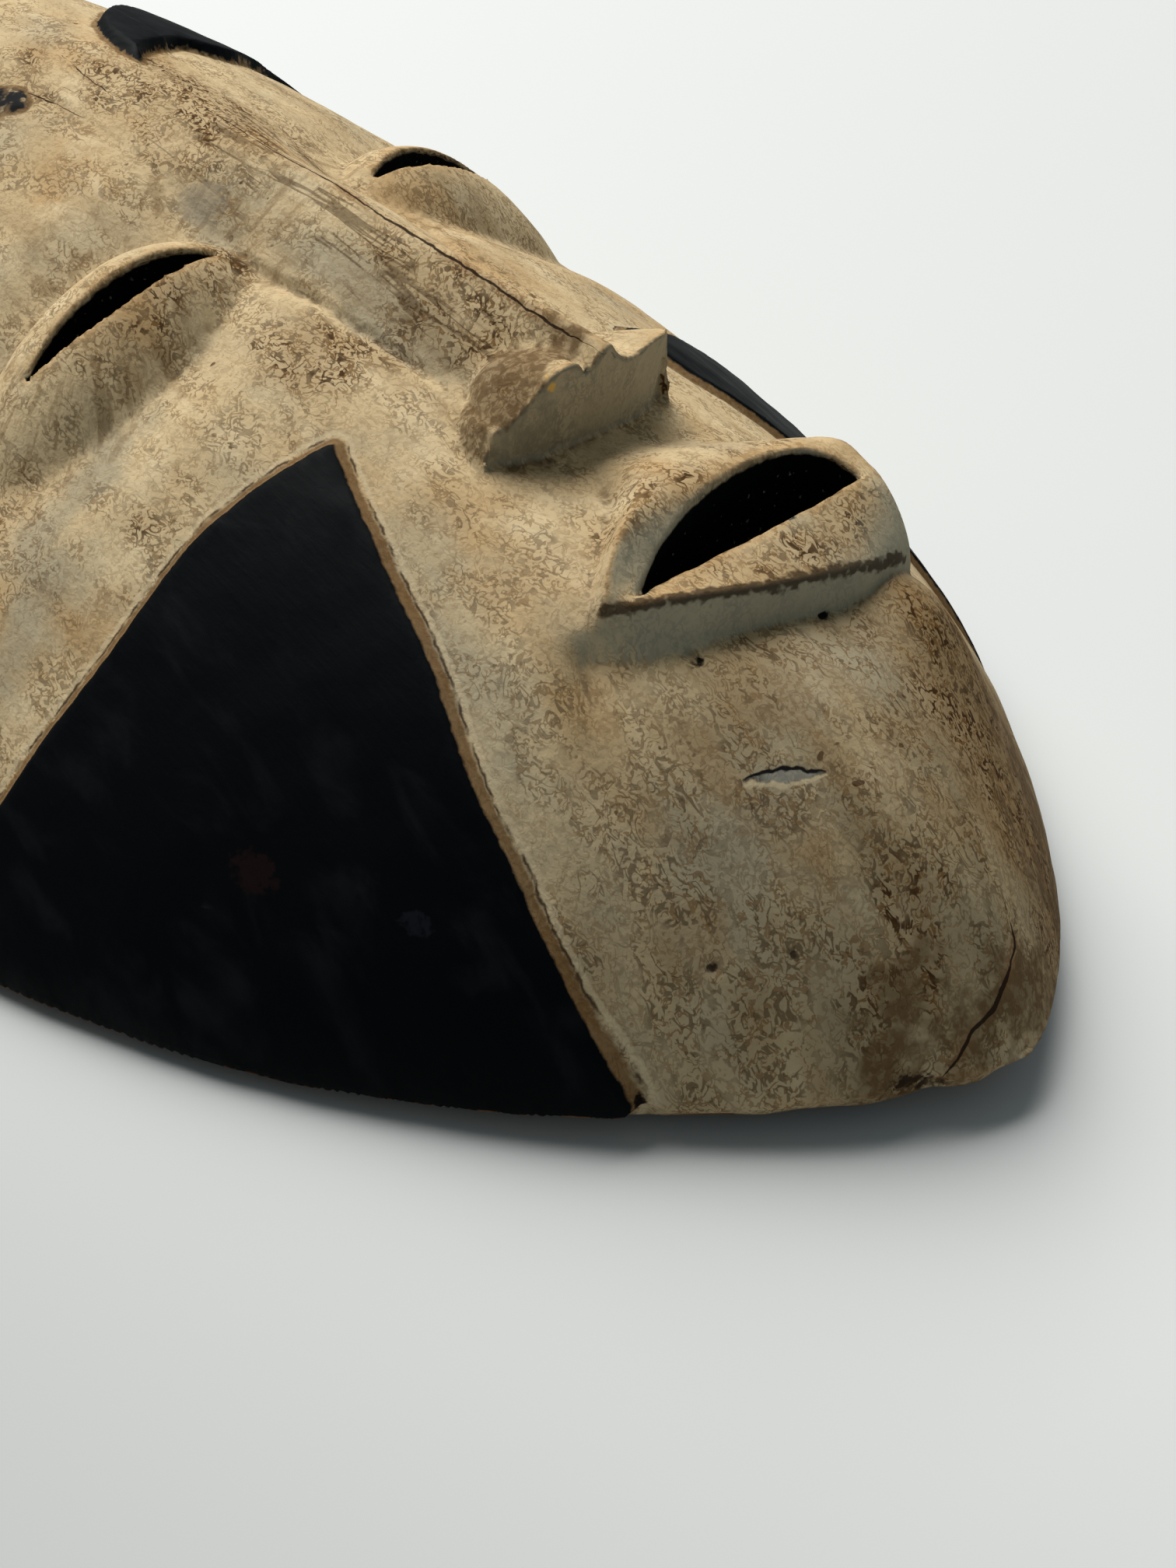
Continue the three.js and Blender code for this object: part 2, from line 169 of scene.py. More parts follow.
# %% [markdown]
# ## The eyes
#
# The eyes lie in shallow sockets, each with a bulging lid, and the carver made the two a little
# unlike, so some sizes are pairs with the mask's right side first. Each eye has two axes of its own,
# because its slit is tilted, and the same formulas then serve both eyes.

# %% The eyes
EYE_X = 34.5
EYE_Y = 13
EYE_HALF = 17.6
EYE_ARCH = 3.1
EYE_SAG = 3.4
EYE_TILT = 0.18
EYE_COS = math.cos(EYE_TILT)
EYE_SIN = math.sin(EYE_TILT)
EYE_SKEW = 3
LID_OUT = 4
LID_HALF = 24.5
LID_TALL = 13.6
LID_RISE = (9.5, 11)
LID_SUNK = 5
LID_ROUND = 0.6
LID_SLOPE = 1.5
LID_FILLET = (0.9, 2.6)
LID_FILLET_TURN = (-4, 4)
SOCKET_HALF = 42
SOCKET_TALL = 30
SOCKET_DEEP = 4.5
SOCKET_FLAT = 0.3


def eye_axes(x, y):
    """An eye's own axes: u runs outwards along the slit, v towards the forehead."""
    side = np.where(x < 0, -1.0, 1.0)
    du = np.abs(x) - EYE_X
    dv = y - EYE_Y - side * EYE_SKEW
    return du * EYE_COS + dv * EYE_SIN, dv * EYE_COS - du * EYE_SIN


def eye_place(side, u, v):
    """Back from an eye's own axes to the mask's; side is 1 for the left eye, -1 for the right."""
    x = side * (EYE_X + u * EYE_COS - v * EYE_SIN)
    return x, EYE_Y + side * EYE_SKEW + u * EYE_SIN + v * EYE_COS


def socket(x, y):
    """How deep the eye sockets are cut into the dome."""
    u, v = eye_axes(x, y)
    away = np.hypot((u - LID_OUT) / SOCKET_HALF, v / SOCKET_TALL)
    return SOCKET_DEEP * (1 - ease(SOCKET_FLAT, 1, away))


def lids(x, y):
    """Height of the two eyelids, each the top of an egg; elsewhere far below the face."""
    u, v = eye_axes(x, y)
    away = np.hypot((u - LID_OUT) / LID_HALF, v / LID_TALL)
    swell = np.maximum(1 - away * away, 0) ** LID_ROUND - LID_SLOPE * np.maximum(away - 1, 0)
    return dome(outward(x, y), y) + mix(*LID_RISE, x > 0) * swell - LID_SUNK


def blend_up(first, second, width):
    """The higher of two heights, with a fillet of about this width where they cross."""
    return width * np.logaddexp(first / width, second / width)


print(f"each eye slit is {2 * EYE_HALF:.1f} mm long and {EYE_ARCH + EYE_SAG:.1f} mm high")

# %% [markdown]
# ## Lips, grooves and mounds
#
# Around the mouth the face has small forms of its own: a hollow under the lip, a faint groove on each
# side of the nose and two soft mounds beside the lip's ends. The lower lip's front edge is no plain
# curve. It is a short table of places with straight lines between them, which follows a hand-cut
# edge better than one formula would.

# %% Lips, grooves and mounds
LIP_X = (-29, -24, -20.5, -14.5, -8.4, -2.5, 5.5, 14.3, 22, 27)
LIP_FRONT_Y = (-85, -90.4, -94, -97, -99.2, -101, -102.8, -104.2, -103.8, -102)
LIP_EDGE_RISE = (-3, -1.2, 1.2, 2.3, 2.4, 2.4, 2.2, 1.3, -1, -4.4)
LOWER_LIP_RISE = (0.7, 2, 5)
LOWER_LIP_X = (-20, 0, 23)
LIP_HOLLOW = 4
CHIN_RUN = 12
CHIN_CURVE = 1.5
UNDER_LIP = (-14, -4)
HOLLOW_SIDE = (0.2, 1)
MUZZLE_X = 1.7
MUZZLE_HALF = 25.8
NOSE_DIP = 2.2
NOSE_DIP_Y = -62
NOSE_DIP_REACH = 9
NOSE_DIP_SIDE = (0.3, 0.9)
GROOVE_DEEP = 1.5
GROOVE_HALF = 2.4
GROOVE_X = (8.6, 13.8)
GROOVE_Y = (-44, 0)
GROOVE_TOP = (9, -3)
GROOVE_FOOT = (-56, -46)
MOUND = 4
MOUND_PLACE = (-25, -87)
MOUND_REACH = 15
MOUND_ENDS = (1.5, 25)
MOUND_TURN = (-26, -34)
FAR_MOUND = 7
FAR_MOUND_PLACE = (23, -109)
FAR_MOUND_REACH = 11


def lip_front(x):
    """The front edge of the lower lip."""
    return np.interp(x, LIP_X, LIP_FRONT_Y)


def face(x, y):
    """Height of the face with its hollows, before anything is raised on it."""
    off = np.abs(x - MUZZLE_X) / MUZZLE_HALF
    dip = NOSE_DIP * bell(y, NOSE_DIP_Y, NOSE_DIP_REACH) * (1 - ease(*NOSE_DIP_SIDE, off))
    past = lip_front(x) - y
    below_lip = np.exp(-((np.maximum(past, 0) / CHIN_RUN) ** CHIN_CURVE))
    run = np.where(past > 0, below_lip, ease(*UNDER_LIP, past))
    chin = LIP_HOLLOW * run * (1 - ease(*HOLLOW_SIDE, off))
    beside = np.abs(x) - np.interp(y, GROOVE_Y, GROOVE_X)
    groove = GROOVE_DEEP * bell(beside, 0, GROOVE_HALF)
    groove = groove * ease(*GROOVE_TOP, y) * ease(*GROOVE_FOOT, y)
    mound = MOUND * bell(np.hypot(x - MOUND_PLACE[0], y - MOUND_PLACE[1]), 0, MOUND_REACH)
    mound = mound * ease(mix(*MOUND_ENDS, ease(*MOUND_TURN, x)), 0, past)
    far = np.hypot(x - FAR_MOUND_PLACE[0], y - FAR_MOUND_PLACE[1])
    mound = mound + FAR_MOUND * bell(far, 0, FAR_MOUND_REACH)
    g = outward(x, y)
    plain = 1 - ease(PLAIN_FROM, 1, g)
    return dome(g, y) + (mound - groove - socket(x, y) - dip - chin) * plain


print(f"the lower lip's edge runs from {LIP_X[0]} to {LIP_X[-1]} mm across")

# %% [markdown]
# ## Handling a mesh
#
# Operators act on what is selected, so one helper selects an object and nothing else. Two more read
# and write all points of a mesh at once, which is far quicker than one after the other.

# %% Helpers for meshes
def only(obj):
    """Make obj the one selected and active object."""
    bpy.ops.object.select_all(action="DESELECT")
    obj.select_set(True)
    bpy.context.view_layer.objects.active = obj


def per_point(obj, name):
    """Three numbers of every point: "co" is its place and "normal" its direction."""
    flat = np.empty(len(obj.data.vertices) * 3)
    obj.data.vertices.foreach_get(name, flat)
    return flat.reshape(-1, 3)


def set_points(obj, points):
    obj.data.vertices.foreach_set("co", np.ascontiguousarray(points, dtype=float).ravel())
    obj.data.update()


# %% [markdown]
# ## From a sheet to a solid
#
# Each part of the face starts as a flat grid, extruded to a closed block. A formula then sets its
# two skins in place: the upper one is the carved surface and the lower one is its foot inside the
# wood. Grids keep the points in tidy rows, which a cut-up cube would not.

# %% A solid from a grid
MERGE = 1e-6
SLIVER = 1e-7


def slab(name, columns, rows, top, under):
    """A closed solid over a grid; top and under place its skins from u and v, -1 to 1."""
    bpy.ops.object.select_all(action="DESELECT")
    bpy.ops.mesh.primitive_grid_add(x_subdivisions=columns, y_subdivisions=rows, size=2)
    obj = bpy.context.object
    obj.name = name
    bpy.ops.object.mode_set(mode="EDIT")
    bpy.ops.mesh.select_all(action="SELECT")
    bpy.ops.mesh.extrude_region_move(TRANSFORM_OT_translate={"value": (0, 0, 1)})
    bpy.ops.object.mode_set(mode="OBJECT")
    points = per_point(obj, "co")
    raised = points[:, 2] > 0.5
    u, v = points[:, 0].copy(), points[:, 1].copy()
    high = np.stack(np.broadcast_arrays(*top(u, v)), 1)
    low = np.stack(np.broadcast_arrays(*under(u, v)), 1)
    set_points(obj, np.where(raised[:, None], high, low) * MM)
    bpy.ops.object.mode_set(mode="EDIT")
    bpy.ops.mesh.select_all(action="SELECT")
    bpy.ops.mesh.remove_doubles(threshold=MERGE)
    bpy.ops.mesh.dissolve_degenerate(threshold=SLIVER)
    bpy.ops.mesh.select_all(action="SELECT")
    bpy.ops.mesh.normals_make_consistent(inside=False)
    bpy.ops.object.mode_set(mode="OBJECT")
    print(f"{name}: {len(obj.data.polygons)} faces")
    return obj


def denser_at_ends(t, share=0.4):
    return (1 - share) * t + share * np.sin(np.pi / 2 * t)


TENTH = 0.1
end_width, middle_width = 1 - denser_at_ends(1 - TENTH), denser_at_ends(TENTH)
print(f"a tenth of a grid covers {end_width:.3f} at its end and {middle_width:.3f} in its middle")

# %% [markdown]
# ## Joining and cutting
#
# A carver can only take wood away, but here a part may also be added. A boolean modifier does both,
# and applying it at once leaves one closed solid for the next step. The part is a tool and goes away
# afterwards.

# %% Join and cut
def change(obj, kind, **settings):
    """Add a modifier of this kind with its settings and make it part of the mesh."""
    modifier = obj.modifiers.new(kind.lower(), kind)
    for name, value in settings.items():
        setattr(modifier, name, value)
    only(obj)
    bpy.ops.object.modifier_apply(modifier=modifier.name)


def carve(mask, tool, operation):
    """Join a part to the mask, or cut it out, and remove the part afterwards."""
    change(mask, "BOOLEAN", operation=operation, object=tool, solver="MANIFOLD")
    bpy.data.objects.remove(tool)


print("union and difference ready")

# %% [markdown]
# ## The block
#
# The first slab is the whole front, from the chin to the forehead. Its upper skin is the dome with
# the eye sockets, the lids and the hollow below the lip already in place, because soft forms that
# flow into each other need no cuts. Its lower skin is the plane that the mask lies on, cut away a
# little under the chin.

# %% The front of the mask
FRONT_GRID = (200, 290)


def front_top(u, v):
    y = denser_at_ends(v) * HALF
    x = denser_at_ends(u) * half_width(y)
    fillet = mix(*LID_FILLET, ease(*LID_FILLET_TURN, x))
    return x, y, blend_up(face(x, y), lids(x, y), fillet)


def front_under(u, v):
    y = denser_at_ends(v) * HALF
    x = denser_at_ends(u) * np.maximum(half_width(y) - EDGE_ROUND, 0)
    return x, np.clip(y, -HALF + EDGE_ROUND, HALF - EDGE_ROUND), chin_lift(y)


mask = slab("carved_mask", *FRONT_GRID, front_top, front_under)

# %% [markdown]
# ## The nose
#
# The nose is a keel that rises from between the brows and spreads into two wings. It ends in one
# flat cut that leans out a little, so the foot of this slab stays where the cut meets the face
# while its tip moves forwards. A height over the dome could not lean like that, and this is why the
# nose is a slab of its own.

# %% Sizes of the nose
NOSE_GRID = (72, 96)
NOSE_SPACING = 1.5
NOSE_CUT_Y = -61.2
NOSE_CUT_BOW = 0.013
NOSE_LEAN = 0.24
NOSE_FRONT = 0.12
NOSE_RISE = (3.6, 14.6)
NOSE_TIP_X = 1.0
NOSE_ROOT_Y = 38
NOSE_END_Y = 100
NOSE_BOW = 1.5
BRIDGE_HALF = (10.5, 13.5)
BRIDGE_TURN = (-50, -5)
CREST_ROUND = 0.006
CREST_DROP = 0.06
RIDGE_BOW = 1.15
RIDGE_FILLET = 0.4
SIDE_FALL = 0.985
WING_RIGHT = 17.8
WING_LEFT = 20.0
WING_IN = (2.6, 2.4)
WING_RISE = (13.4, 12.6)
WING_DIP = 2.2
WING_DIP_X = 7
WING_DIP_REACH = 4
CHAMFER = 7.5
CHAMFER_TURN = (7, 16)
WING_EDGE = 0.9
WING_EDGE_RISE = 0.8
CHIP_X = -2.6
CHIP_HALF = 1.3
CHIP_DEEP = 3
CHIP_LENGTH = 6
WING_START = 3
WING_LENGTH = 18
WING_TRIM = 0.5
WING_FALL = 0.6
WING_FROM = 0.75
SEAM = 0.6
SEAM_FROM = 0.999
FOOT = 9


print(f"the nose is {WING_RIGHT + WING_LEFT:.1f} mm wide and ends at y = {NOSE_CUT_Y} mm")

# %% [markdown]
# ## Shaping the nose
#
# Here s runs across the nose from -1 to 1 and v from the cut to its root. The ridge is a soft roof
# over the bridge, each wing swells over the last stretch before the cut, and the higher of the two
# counts, with a small fillet. Rows lie closer together near the cut, where the shape changes fastest.

# %% Shape the nose
def nose_row(v):
    return ((v + 1) / 2) ** NOSE_SPACING


def nose_place(s, v):
    """Where a point of the nose stands from above, and how far it rises over the dome."""
    side = np.abs(s)
    share = nose_row(v)
    foot_y = NOSE_CUT_Y + NOSE_CUT_BOW * (s * mix(WING_RIGHT, WING_LEFT, s > 0)) ** 2
    row = mix(foot_y, NOSE_END_Y, share)
    back = row - foot_y
    bridge = mix(*BRIDGE_HALF, ease(*BRIDGE_TURN, row))
    wing_half = np.where(s > 0, WING_LEFT, WING_RIGHT)
    half = mix(wing_half, bridge, ease(WING_START, WING_LENGTH, back))
    along = clamp(back / (WING_LENGTH * (1 - WING_TRIM * side**3)))
    wing = (1 - along) ** WING_FALL
    down = clamp((NOSE_ROOT_Y - row) / (NOSE_ROOT_Y - NOSE_CUT_Y))
    keel = mix(*NOSE_RISE, down**NOSE_BOW) * (1 - ease(NOSE_ROOT_Y, NOSE_END_Y, row))
    x = s * half
    off = clamp(np.abs(x - NOSE_TIP_X * down) / bridge)
    crest = np.sqrt(off * off + CREST_ROUND) - CREST_DROP
    ridge = keel * (1 - clamp(crest)) ** RIDGE_BOW
    shoulder = quarter(clamp((side - WING_EDGE) / (1 - WING_EDGE)))
    corner = CHAMFER * ease(*CHAMFER_TURN, -x)
    dip = WING_DIP * bell(x, WING_DIP_X, WING_DIP_REACH)
    crest_of_wing = mix(WING_RISE[0] - corner, WING_RISE[1] - dip, x > 0)
    wing_top = crest_of_wing * wing * mix(WING_EDGE_RISE, 1, shoulder)
    rise = blend_up(ridge, wing_top, RIDGE_FILLET) * mix(1, SIDE_FALL, side)
    rise = rise - CHIP_DEEP * bell(x, CHIP_X, CHIP_HALF) * (1 - ease(0, CHIP_LENGTH, back))
    return x, row, rise, shoulder


def nose_top(s, v):
    x, row, rise, shoulder = nose_place(s, v)
    lean_in = mix(*WING_IN, x > 0) * ease(WING_FROM, 1, np.abs(s)) * shoulder
    front = bell(nose_row(v), 0, NOSE_FRONT)
    y = row - NOSE_LEAN * rise * front
    x = x - np.sign(x) * lean_in * front
    height = dome(outward(x, y), y) - socket(x, y) + rise
    return x, y, np.where(np.abs(s) > SEAM_FROM, height - rise - SEAM, height)


def nose_under(s, v):
    x, row, _, _ = nose_place(s, v)
    y = row + NOSE_LEAN * FOOT * bell(nose_row(v), 0, NOSE_FRONT)
    return x, y, face(x, y) - FOOT


carve(mask, slab("nose", *NOSE_GRID, nose_top, nose_under), "UNION")

# %% [markdown]
# ## The mouth's muzzle
#
# The mouth stands on a box-like muzzle. Its front edge is the lower lip, a shelf with a sharp edge,
# and its flanks round off into the cheeks. It is a slab too, because then a row of points runs
# along that edge and keeps it sharp. The mouth itself is cut through later.

# %% The muzzle
MUZZLE_GRID = (96, 80)
MOUTH_X = (-19.6, 23)
MOUTH_Y = (-91.9, -94.5)
MOUTH_ARCH = 9
MOUTH_SLOW = 2.7
MOUTH_BLUNT = 16
MUZZLE_HALF_RIGHT = 27.5
FLANK_RIGHT = (0.92, 0.4)
FLANK_LEFT = 0.93
FLANK_TURN = (-92, -78)
FLANK_MIDDLE = (-0.5, 0.5)
MUZZLE_NECK = (10, 17)
MUZZLE_TOP_Y = -62
MUZZLE_NECK_Y = -70
MUZZLE_FULL_Y = -90
UPPER_LIP_RISE = 6.3
LIP_FULLNESS = 0.7
LIP_STEP = 4


def muzzle_top(u, v):
    s = denser_at_ends(u)
    wide = mix(MUZZLE_HALF_RIGHT, MUZZLE_HALF, s > 0)
    y = mix(lip_front(MUZZLE_X + s * wide), MUZZLE_TOP_Y, (v + 1) / 2)
    x = MUZZLE_X + s * mix(wide, mix(*MUZZLE_NECK, s > 0), ease(MUZZLE_FULL_Y, MUZZLE_NECK_Y, y))
    mouth_y = mix(*MOUTH_Y, clamp((x - MOUTH_X[0]) / (MOUTH_X[1] - MOUTH_X[0])))
    from_edge = clamp((y - lip_front(x)) / np.maximum(mouth_y - lip_front(x), 1))
    bulge = mix(from_edge, quarter(1 - from_edge), ease(0, MUZZLE_HALF, x) * LIP_FULLNESS)
    at_mouth = np.interp(x, LOWER_LIP_X, LOWER_LIP_RISE)
    lower = mix(np.interp(x, LIP_X, LIP_EDGE_RISE), at_mouth, bulge)
    to_upper = ease(mouth_y, mouth_y + MOUTH_ARCH, y)
    philtrum = UPPER_LIP_RISE * ease(MUZZLE_TOP_Y, mouth_y + MOUTH_ARCH, y)
    rise = np.where(y < mouth_y + MOUTH_ARCH, mix(lower, UPPER_LIP_RISE, to_upper), philtrum)
    right_square = mix(*FLANK_RIGHT, ease(*FLANK_TURN, y))
    square = mix(right_square, FLANK_LEFT, ease(*FLANK_MIDDLE, s))
    outer = clamp((np.abs(s) - square) / (1 - square))
    flank = np.where(s < 0, 1 - ease(0, 1, outer), quarter(outer))
    ground = face(x, y) - SEAM
    level = mix(ground, crown(y), ease(MUZZLE_NECK_Y, mouth_y + LIP_STEP, y)) + rise
    return x, y, mix(ground, level, flank)


def muzzle_under(u, v):
    x, y, _ = muzzle_top(u, v)
    return x, y, face(x, y) - FOOT


carve(mask, slab("muzzle", *MUZZLE_GRID, muzzle_top, muzzle_under), "UNION")

# %% [markdown]
# ## The slits and the mouth
#
# Now the wood is opened by three straight cuts through the front, as a chisel makes them. Moving
# points down could not give such steep walls, so each cut is a boolean with a straight block. A
# copy of the uncut skin is kept, because it tells later how deep a point lies inside a cut.

# %% Cut the slits and the mouth
uncut = BVHTree.FromObject(mask, bpy.context.evaluated_depsgraph_get())
CUT_FOOT = 12
CUT_HEAD = 130
CUT_GRID = (60, 2)


def cutter(name, lower, upper):
    """A straight block between two edges, each a function of -1 to 1."""

    def at_height(height):
        def place(u, v):
            low, high = np.array(lower(u)), np.array(upper(u))
            x, y = mix(low, high, (v + 1) / 2)
            return x, y, np.full_like(x, height)

        return place

    return slab(name, *CUT_GRID, at_height(CUT_HEAD), at_height(CUT_FOOT))


def slit_edge(side, bow):
    """One edge of an eye slit, bowed up or down."""
    return lambda u: eye_place(side, u * side * EYE_HALF, bow * (1 - u * u))


def mouth_low(u):
    t = (u + 1) / 2
    return mix(*MOUTH_X, t), mix(*MOUTH_Y, t)


def mouth_high(u):
    t = (u + 1) / 2
    x, y = mouth_low(u)
    return x, y + MOUTH_ARCH * (1 - (1 - t) ** MOUTH_SLOW) * (1 - t**MOUTH_BLUNT)


OPENINGS = {
    "left_slit": (slit_edge(1, -EYE_SAG), slit_edge(1, EYE_ARCH)),
    "right_slit": (slit_edge(-1, -EYE_SAG), slit_edge(-1, EYE_ARCH)),
    "mouth": (mouth_low, mouth_high),
}
for name, (lower, upper) in OPENINGS.items():
    carve(mask, cutter(name, lower, upper), "DIFFERENCE")

# %% [markdown]
# ## The hollow back
#
# The back is dug out until the mask fits over a face and is light enough to wear. One block in the
# shape of a smaller dome is taken away from below, which leaves a flat rim to lie on.

# %% Hollow the back
HOLLOW_GRID = (64, 90)
WALL = 13
THICKNESS = 22
ROOF_BOW = (2.2, 0.75)
BELOW = 5
IN_X = 1 - WALL / (WIDTH / 2)
IN_Y = 1 - WALL / HALF


def hollow_roof(u, v):
    across, along = np.sin(np.pi / 2 * u), np.sin(np.pi / 2 * v)
    rise = np.maximum(crown(along * HALF) - THICKNESS, 0)
    rise = rise * bow(np.abs(across), ROOF_BOW)
    return across * half_width(along * HALF) * IN_X, along * HALF * IN_Y, rise


def hollow_floor(u, v):
    x, y, _ = hollow_roof(u, v)
    return x, y, np.full_like(x, -BELOW)


carve(mask, slab("hollow", *HOLLOW_GRID, hollow_roof, hollow_floor), "DIFFERENCE")
print("sharp mask:", len(mask.data.vertices), "points")

# %% [markdown]
# ## Soft, worn edges
#
# Booleans leave edges like a paper model's, and no old mask has those. A bevel would stumble over
# the small slivers of the cuts. A voxel remesh wraps the solid in a fine even skin instead, and a
# light smoothing rounds every edge by about a millimetre, as hands and cloths do.

# %% Remesh and smooth
VOXEL = 0.00075
SOFTEN = 0.5
SOFTEN_TIMES = 2
mask.data.remesh_voxel_size = VOXEL
only(mask)
bpy.ops.object.voxel_remesh()
change(mask, "SMOOTH", factor=SOFTEN, iterations=SOFTEN_TIMES)
print("even skin:", len(mask.data.vertices), "points")

# %% [markdown]
# ## Outlines drawn on the face
#
# The black cheeks and brows are low reliefs inside drawn outlines, as a carver would pencil them on.
# Each outline is a smooth closed curve through a few points seen from above. A picture could hold
# the same fields, but points stay sharp at any size and can be moved one by one.

# %% The outlines
CHEEK_FIELD = [
    (28, -37.6), (30.5, -35.8), (34, -34.5), (42, -31.5), (52, -29.5), (63, -29), (72, -27.9),
    (79, -26.5), (86, -25.3), (96, -23), (112, -19), (122, -60), (95, -112), (60, -140), (45, -132),
    (44.7, -122.5), (46.3, -114.5), (46.3, -107), (45.2, -96), (43.2, -85.5), (38.6, -72.3),
    (36, -62), (32, -49.6), (29.4, -41.5),
]
LEFT_BROW = [
    (1.9, 57.5), (3.8, 60.7), (7, 64), (10.4, 66.4), (13.6, 69), (18, 71.5), (24, 71), (30, 72.5),
    (36, 77), (44, 81), (52, 81), (59, 77), (55, 85), (48, 91), (40, 95), (30, 97), (22, 96),
    (15.5, 92), (10.5, 86.5), (6, 80), (3.2, 72), (2.2, 67), (1.6, 62),
]
RIGHT_BROW = [
    (-17.6, 63.2), (-16.4, 66), (-16.2, 69), (-18.4, 72.2), (-24, 78), (-32, 84), (-41, 83),
    (-50, 75), (-58, 65), (-65, 53), (-56, 57), (-46, 62), (-37, 67), (-30, 69.5), (-25, 68.5),
    (-21.6, 66.9), (-20, 64.2),
]
OUTLINE_STEPS = 5


def smooth_outline(corners):
    """A smooth closed curve that passes through all the corners."""
    p = np.array(corners, dtype=float)
    before, after, beyond = np.roll(p, 1, 0), np.roll(p, -1, 0), np.roll(p, -2, 0)
    pieces = []
    for t in np.arange(OUTLINE_STEPS) / OUTLINE_STEPS:
        pull = (after - before) / 2 * (t - 2 * t**2 + t**3) + (beyond - p) / 2 * (t**3 - t**2)
        pieces.append(p * (1 - 3 * t**2 + 2 * t**3) + after * (3 * t**2 - 2 * t**3) + pull)
    return np.stack(pieces, 1).reshape(-1, 2)


print("outlines:", len(CHEEK_FIELD), len(LEFT_BROW), len(RIGHT_BROW), "points")

# %% [markdown]
# ## How far inside
#
# The distance of every point of the wood to an outline, positive inside, gives both the carved step
# and the painted border, so wood and paint always agree. A spot is inside when a line drawn from it
# crosses the outline an odd number of times.

# %% Distance inside an outline
LEVEL_STEP = 1e-12


def inside_by(spots, corners, smooth=True):
    """How far each spot lies inside the outline seen from above; negative outside."""
    outline = smooth_outline(corners) if smooth else corners
    nearest = np.full(len(spots), np.inf)
    inside = np.zeros(len(spots), dtype=bool)
    for a, b in zip(outline, np.roll(outline, -1, 0)):
        run = b - a
        t = clamp((spots - a) @ run / (run @ run))
        nearest = np.minimum(nearest, np.hypot(*(spots - a - t[:, None] * run).T))
        crosses = (a[1] > spots[:, 1]) != (b[1] > spots[:, 1])
        inside ^= crosses & (spots[:, 0] < a[0] + (spots[:, 1] - a[1]) * run[0] / (run[1] + LEVEL_STEP))
    return np.where(inside, nearest, -nearest)


print("an outline is measured along", OUTLINE_STEPS, "straight pieces between two points")

# %% [markdown]
# ## Hand-cut borders
#
# No hand follows a drawn line exactly. Soft lumps let each border wander by up to a millimetre. They
# are made here from a sine with large numbers, which looks random and yet comes out the same every
# time. The left cheek's field is the right one mirrored, with its lower end moved outwards.

# %% Lumps and ragged borders
FAR_SHIFT = 24
FAR_TURN = (-44, -95)
SCATTER = (127.1, 311.7, 74.7)
SCATTER_SEED = 17.3
SCATTER_SPREAD = 43758.5453


def lumps(places, size, seed):
    """Soft seeded unevenness between -1 and 1, with lumps about size mm wide."""
    cells = np.floor(places / size)
    part = places / size - cells
    part = part * part * (3 - 2 * part)
    total = np.zeros(len(places))
    for corner in np.ndindex(2, 2, 2):
        key = (cells + corner) @ np.array(SCATTER) + seed * SCATTER_SEED
        value = np.sin(key) * SCATTER_SPREAD
        weight = np.prod(np.where(corner, part, 1 - part), axis=1)
        total += (2 * (value - np.floor(value)) - 1) * weight
    return total


def ragged(places, spots, corners, wander, seed):
    """Distance inside an outline whose border wanders, as a hand-cut one does."""
    waves = lumps(places, 9, seed) + 0.5 * lumps(places, 3, seed + 1)
    return inside_by(spots, corners) + wander * waves


def borders(places):
    """The distances inside the cheek fields and inside the brows."""
    away = FAR_SHIFT * ease(*FAR_TURN, places[:, 1]) * (places[:, 0] > 0)
    mirrored = np.stack((np.abs(places[:, 0]) - away, places[:, 1]), 1)
    field = ragged(places, mirrored, CHEEK_FIELD, wander=0.35, seed=3)
    left = ragged(places, places[:, :2], LEFT_BROW, wander=0.5, seed=5)
    right = ragged(places, places[:, :2], RIGHT_BROW, wander=0.8, seed=7)
    return field, np.maximum(left, right)


print("the left cheek's field ends", FAR_SHIFT, "mm farther out than the right one's")

# %% [markdown]
# ## Low relief and tool marks
#
# Every point of the fine skin now moves along its own direction: outwards inside the outlines,
# inwards at the chips, and by a few tenths of a millimetre everywhere for the faint facets that a
# knife leaves. The back, which nobody smoothed, gets stronger marks. Sculpting them by hand would
# do as well, but formulas with fixed seeds give the same marks every time.

# %% Raise the fields and the brows
FIELD_LIFT = 1.2
FIELD_BEVEL = 1.5
BROW_LIFT = (0.4, 2.1)
BROW_BEVEL = 1.3
KNIFE_MARKS = ((14, 0.22), (6, 0.1), (2.6, 0.05))
KNIFE_SEED = 20
BACK_MARKS = ((11, 0.5), (5, 0.2))
BACK_SEED = 30
FLAT_RIM = (2, 6)
FRONT_TURN = (0.1, 0.4)
EDGE_SHARE = 0.9
CHIPS = [
    ((-16.5, -145, 10), 3.2, 1.3), ((-13.6, -147, 7.5), 2.4, 1.4), ((-44.7, -122, 5.5), 1.8, 1.6),
    ((6.4, -103.2, 56), 0.9, 0.5), ((12.1, -103.4, 54.6), 0.9, 0.5), ((-15.2, -98.5, 56.5), 1.1, 0.5),
    ((-33, -122, 26), 0.8, 0.5), ((-24.5, -129, 27.7), 0.8, 0.4),
]


def on_front(places, normals):
    """1 on the carved front and its edge, 0 on the rim's underside and in the hollow."""
    away = places[:, :2] / (WIDTH / 2, HALF) ** np.array(2)
    away = away / np.maximum(np.hypot(*away.T), TINY)[:, None]
    outwards = (normals[:, :2] * away).sum(1)
    return ease(*FRONT_TURN, normals[:, 2] + EDGE_SHARE * np.maximum(outwards, 0))


